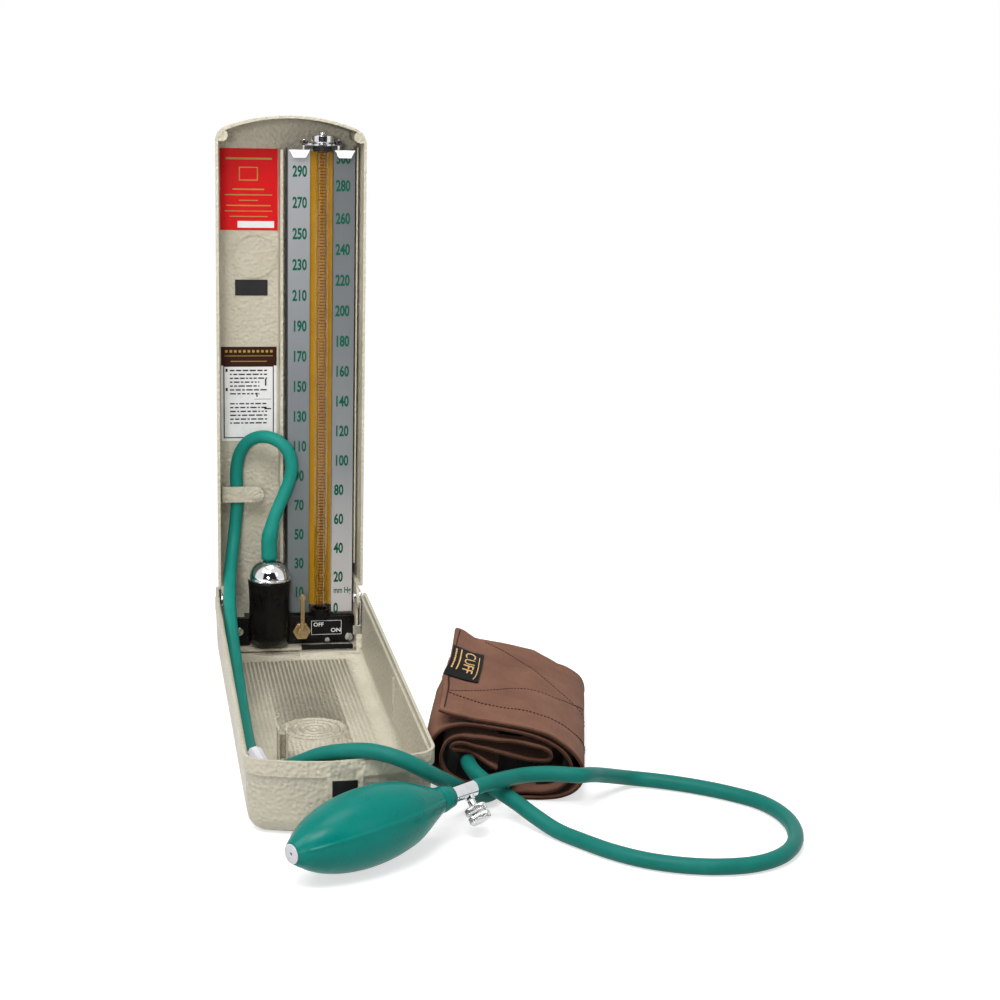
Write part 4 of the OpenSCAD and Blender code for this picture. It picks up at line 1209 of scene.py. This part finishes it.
@dataclass
class Studio:
    """Pale floor, soft lamps, plain surroundings and the camera of the photograph."""

    camera_mm: Point = (-104.392, -1103.278, 388.776)
    yaw_deg: float = 11.008
    pitch_deg: float = 12.788
    roll_deg: float = 1.454
    lens: float = 70.99
    world_light: float = 0.34
    floor_glow: float = 0.6
    floor_fade: tuple[float, float] = (0.45, 1.0)
    # each soft lamp's name, place, width and height in metres, and power in watts
    lamps: Sequence[tuple[str, Point, tuple[float, float], float]] = (
        ("key lamp", (-0.2, -0.78, 1.08), (0.55, 0.4), 9), ("left lamp", (-0.8, -0.5, 1.3), (0.5, 0.5), 7),
        ("right lamp", (1.15, -1.05, 0.9), (0.45, 0.7), 1.5), ("top lamp", (0.1, -0.1, 1.6), (0.7, 0.7), 7))
    lamp_aim: Point = (0.04, -0.02, 0.1)
    spot_place: Point = (-0.55, -2.5, 0.6)
    spot_aim: Point = (0.0, 0.17, 0.19)
    spot_cone_deg: float = 20
    spot_power: float = 80

    def build(self) -> None:
        """Builds the whole studio."""
        self.place_camera()
        self.lay_floor()
        self.light_world()
        for name, place, (wide, tall), power in self.lamps:
            self.hang_lamp(name, "AREA", place, self.lamp_aim, shape="RECTANGLE", size=wide, size_y=tall,
                           energy=power)
        self.hang_lamp("lid lamp", "SPOT", self.spot_place, self.spot_aim, energy=self.spot_power,
                       spot_size=math.radians(self.spot_cone_deg), spot_blend=1, shadow_soft_size=0.2)
        self.stand_dark_wall()

    @staticmethod
    def facing(place: Vector, way: Vector) -> Matrix:
        """Gives the place of a camera or lamp that looks along a way."""
        return Matrix.Translation(place) @ way.to_track_quat("-Z", "Y").to_matrix().to_4x4()

    def place_camera(self) -> None:
        """Sets the camera where the photograph was taken from."""
        yaw, pitch = math.radians(self.yaw_deg), math.radians(self.pitch_deg)
        ahead = Vector((math.sin(yaw) * math.cos(pitch), math.cos(yaw) * math.cos(pitch), -math.sin(pitch)))
        camera = stand("camera", bpy.data.cameras.new("camera"))
        camera.data.lens = self.lens
        camera.data.sensor_width = 36
        camera.data.clip_end = 50
        camera.matrix_world = (self.facing(Vector(self.camera_mm) * MM, ahead)
                               @ Matrix.Rotation(math.radians(self.roll_deg), 4, "Z"))
        bpy.context.scene.camera = camera

    def lay_floor(self) -> None:
        """Lays a white floor that keeps the soft shadow of what stands on it."""
        shader = Shader("floor")
        shader.set(Base_Color=(0.62, 0.62, 0.62, 1), Roughness=0.9, Specular_IOR_Level=0.0,
                   Emission_Color=WHITE)
        shader.join(shader.seen_directly(self.floor_glow), shader.surface.inputs["Emission Strength"])
        place = shader.node("ShaderNodeTexCoord").outputs["Object"]
        away = shader.node("ShaderNodeVectorMath", {0: place}, operation="LENGTH").outputs["Value"]
        mix = shader.node("ShaderNodeMixShader", {
            0: shader.span(away, 0, 1, self.floor_fade), 1: shader.surface.outputs[0],
            2: shader.node("ShaderNodeEmission").outputs[0]})
        shader.join(mix.outputs[0], shader.tree.nodes["Material Output"].inputs["Surface"])
        self.set_up("floor", 6, Matrix.Identity(4), shader)

    def stand_dark_wall(self) -> None:
        """Stands the studio's dark wall behind the camera, which only reflections show."""
        shader = Shader("dark wall")
        shader.set(Base_Color=(0.03, 0.03, 0.03, 1), Roughness=0.9, Specular_IOR_Level=0.1)
        place = (Matrix.Translation((0, -2.8, 1.5)) @ Matrix.Rotation(math.pi / 2, 4, "X")
                 @ Matrix.Diagonal((2.6, 1.5, 1, 1)))
        wall = self.set_up("dark wall", 1, place, shader)
        wall.visible_camera = wall.visible_diffuse = wall.visible_shadow = False

    def set_up(self, name: str, half: float, place: Matrix, shader: Shader) -> bpy.types.Object:
        """Sets up a flat sheet that belongs to the studio."""
        bm = bmesh.new()
        bmesh.ops.create_grid(bm, x_segments=1, y_segments=1, size=half, matrix=place)
        mesh = bpy.data.meshes.new(name)
        bm.to_mesh(mesh)
        bm.free()
        mesh.materials.append(shader.material)
        sheet = stand(name, mesh)
        return sheet

    def light_world(self) -> None:
        """Lights the scene evenly and shows white behind the object."""
        world = bpy.data.worlds.new("studio")
        bpy.context.scene.world = world
        world.use_nodes = True
        nodes = Nodes(world.node_tree)
        light = nodes.tree.nodes["Background"]
        light.inputs["Color"].default_value = WHITE
        light.inputs["Strength"].default_value = self.world_light
        shown = nodes.node("ShaderNodeBackground", {"Color": WHITE})
        mix = nodes.node("ShaderNodeMixShader", {
            0: nodes.seen_directly(1), 1: light.outputs[0], 2: shown.outputs[0]})
        nodes.join(mix.outputs[0], nodes.tree.nodes["World Output"].inputs["Surface"])

    def hang_lamp(self, name: str, kind: str, place: Point, aim: Point, **settings: object) -> None:
        """Hangs one soft lamp, a wide AREA or a narrow SPOT, with its own values, that points at its aim."""
        data = bpy.data.lights.new(name, kind)
        for key, value in settings.items():
            setattr(data, key, value)
        stand(name, data).matrix_world = self.facing(Vector(place), Vector(aim) - Vector(place))


def main() -> None:
    """Dresses the object, sub-assembly by sub-assembly, and builds the studio round it."""
    logging.basicConfig(level=logging.INFO, format="%(message)s")
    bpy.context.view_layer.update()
    bpy.context.scene.view_settings.view_transform = "Standard"
    Studio().build()
    for assembly in (Case(), PressureScale(), TankLock(), PanelLabels(), HoseSet(), HandBulb(), RolledCuff()):
        LOG.info("-- %s", type(assembly).__name__)
        assembly.dress()


if __name__ == "__main__":
    main()
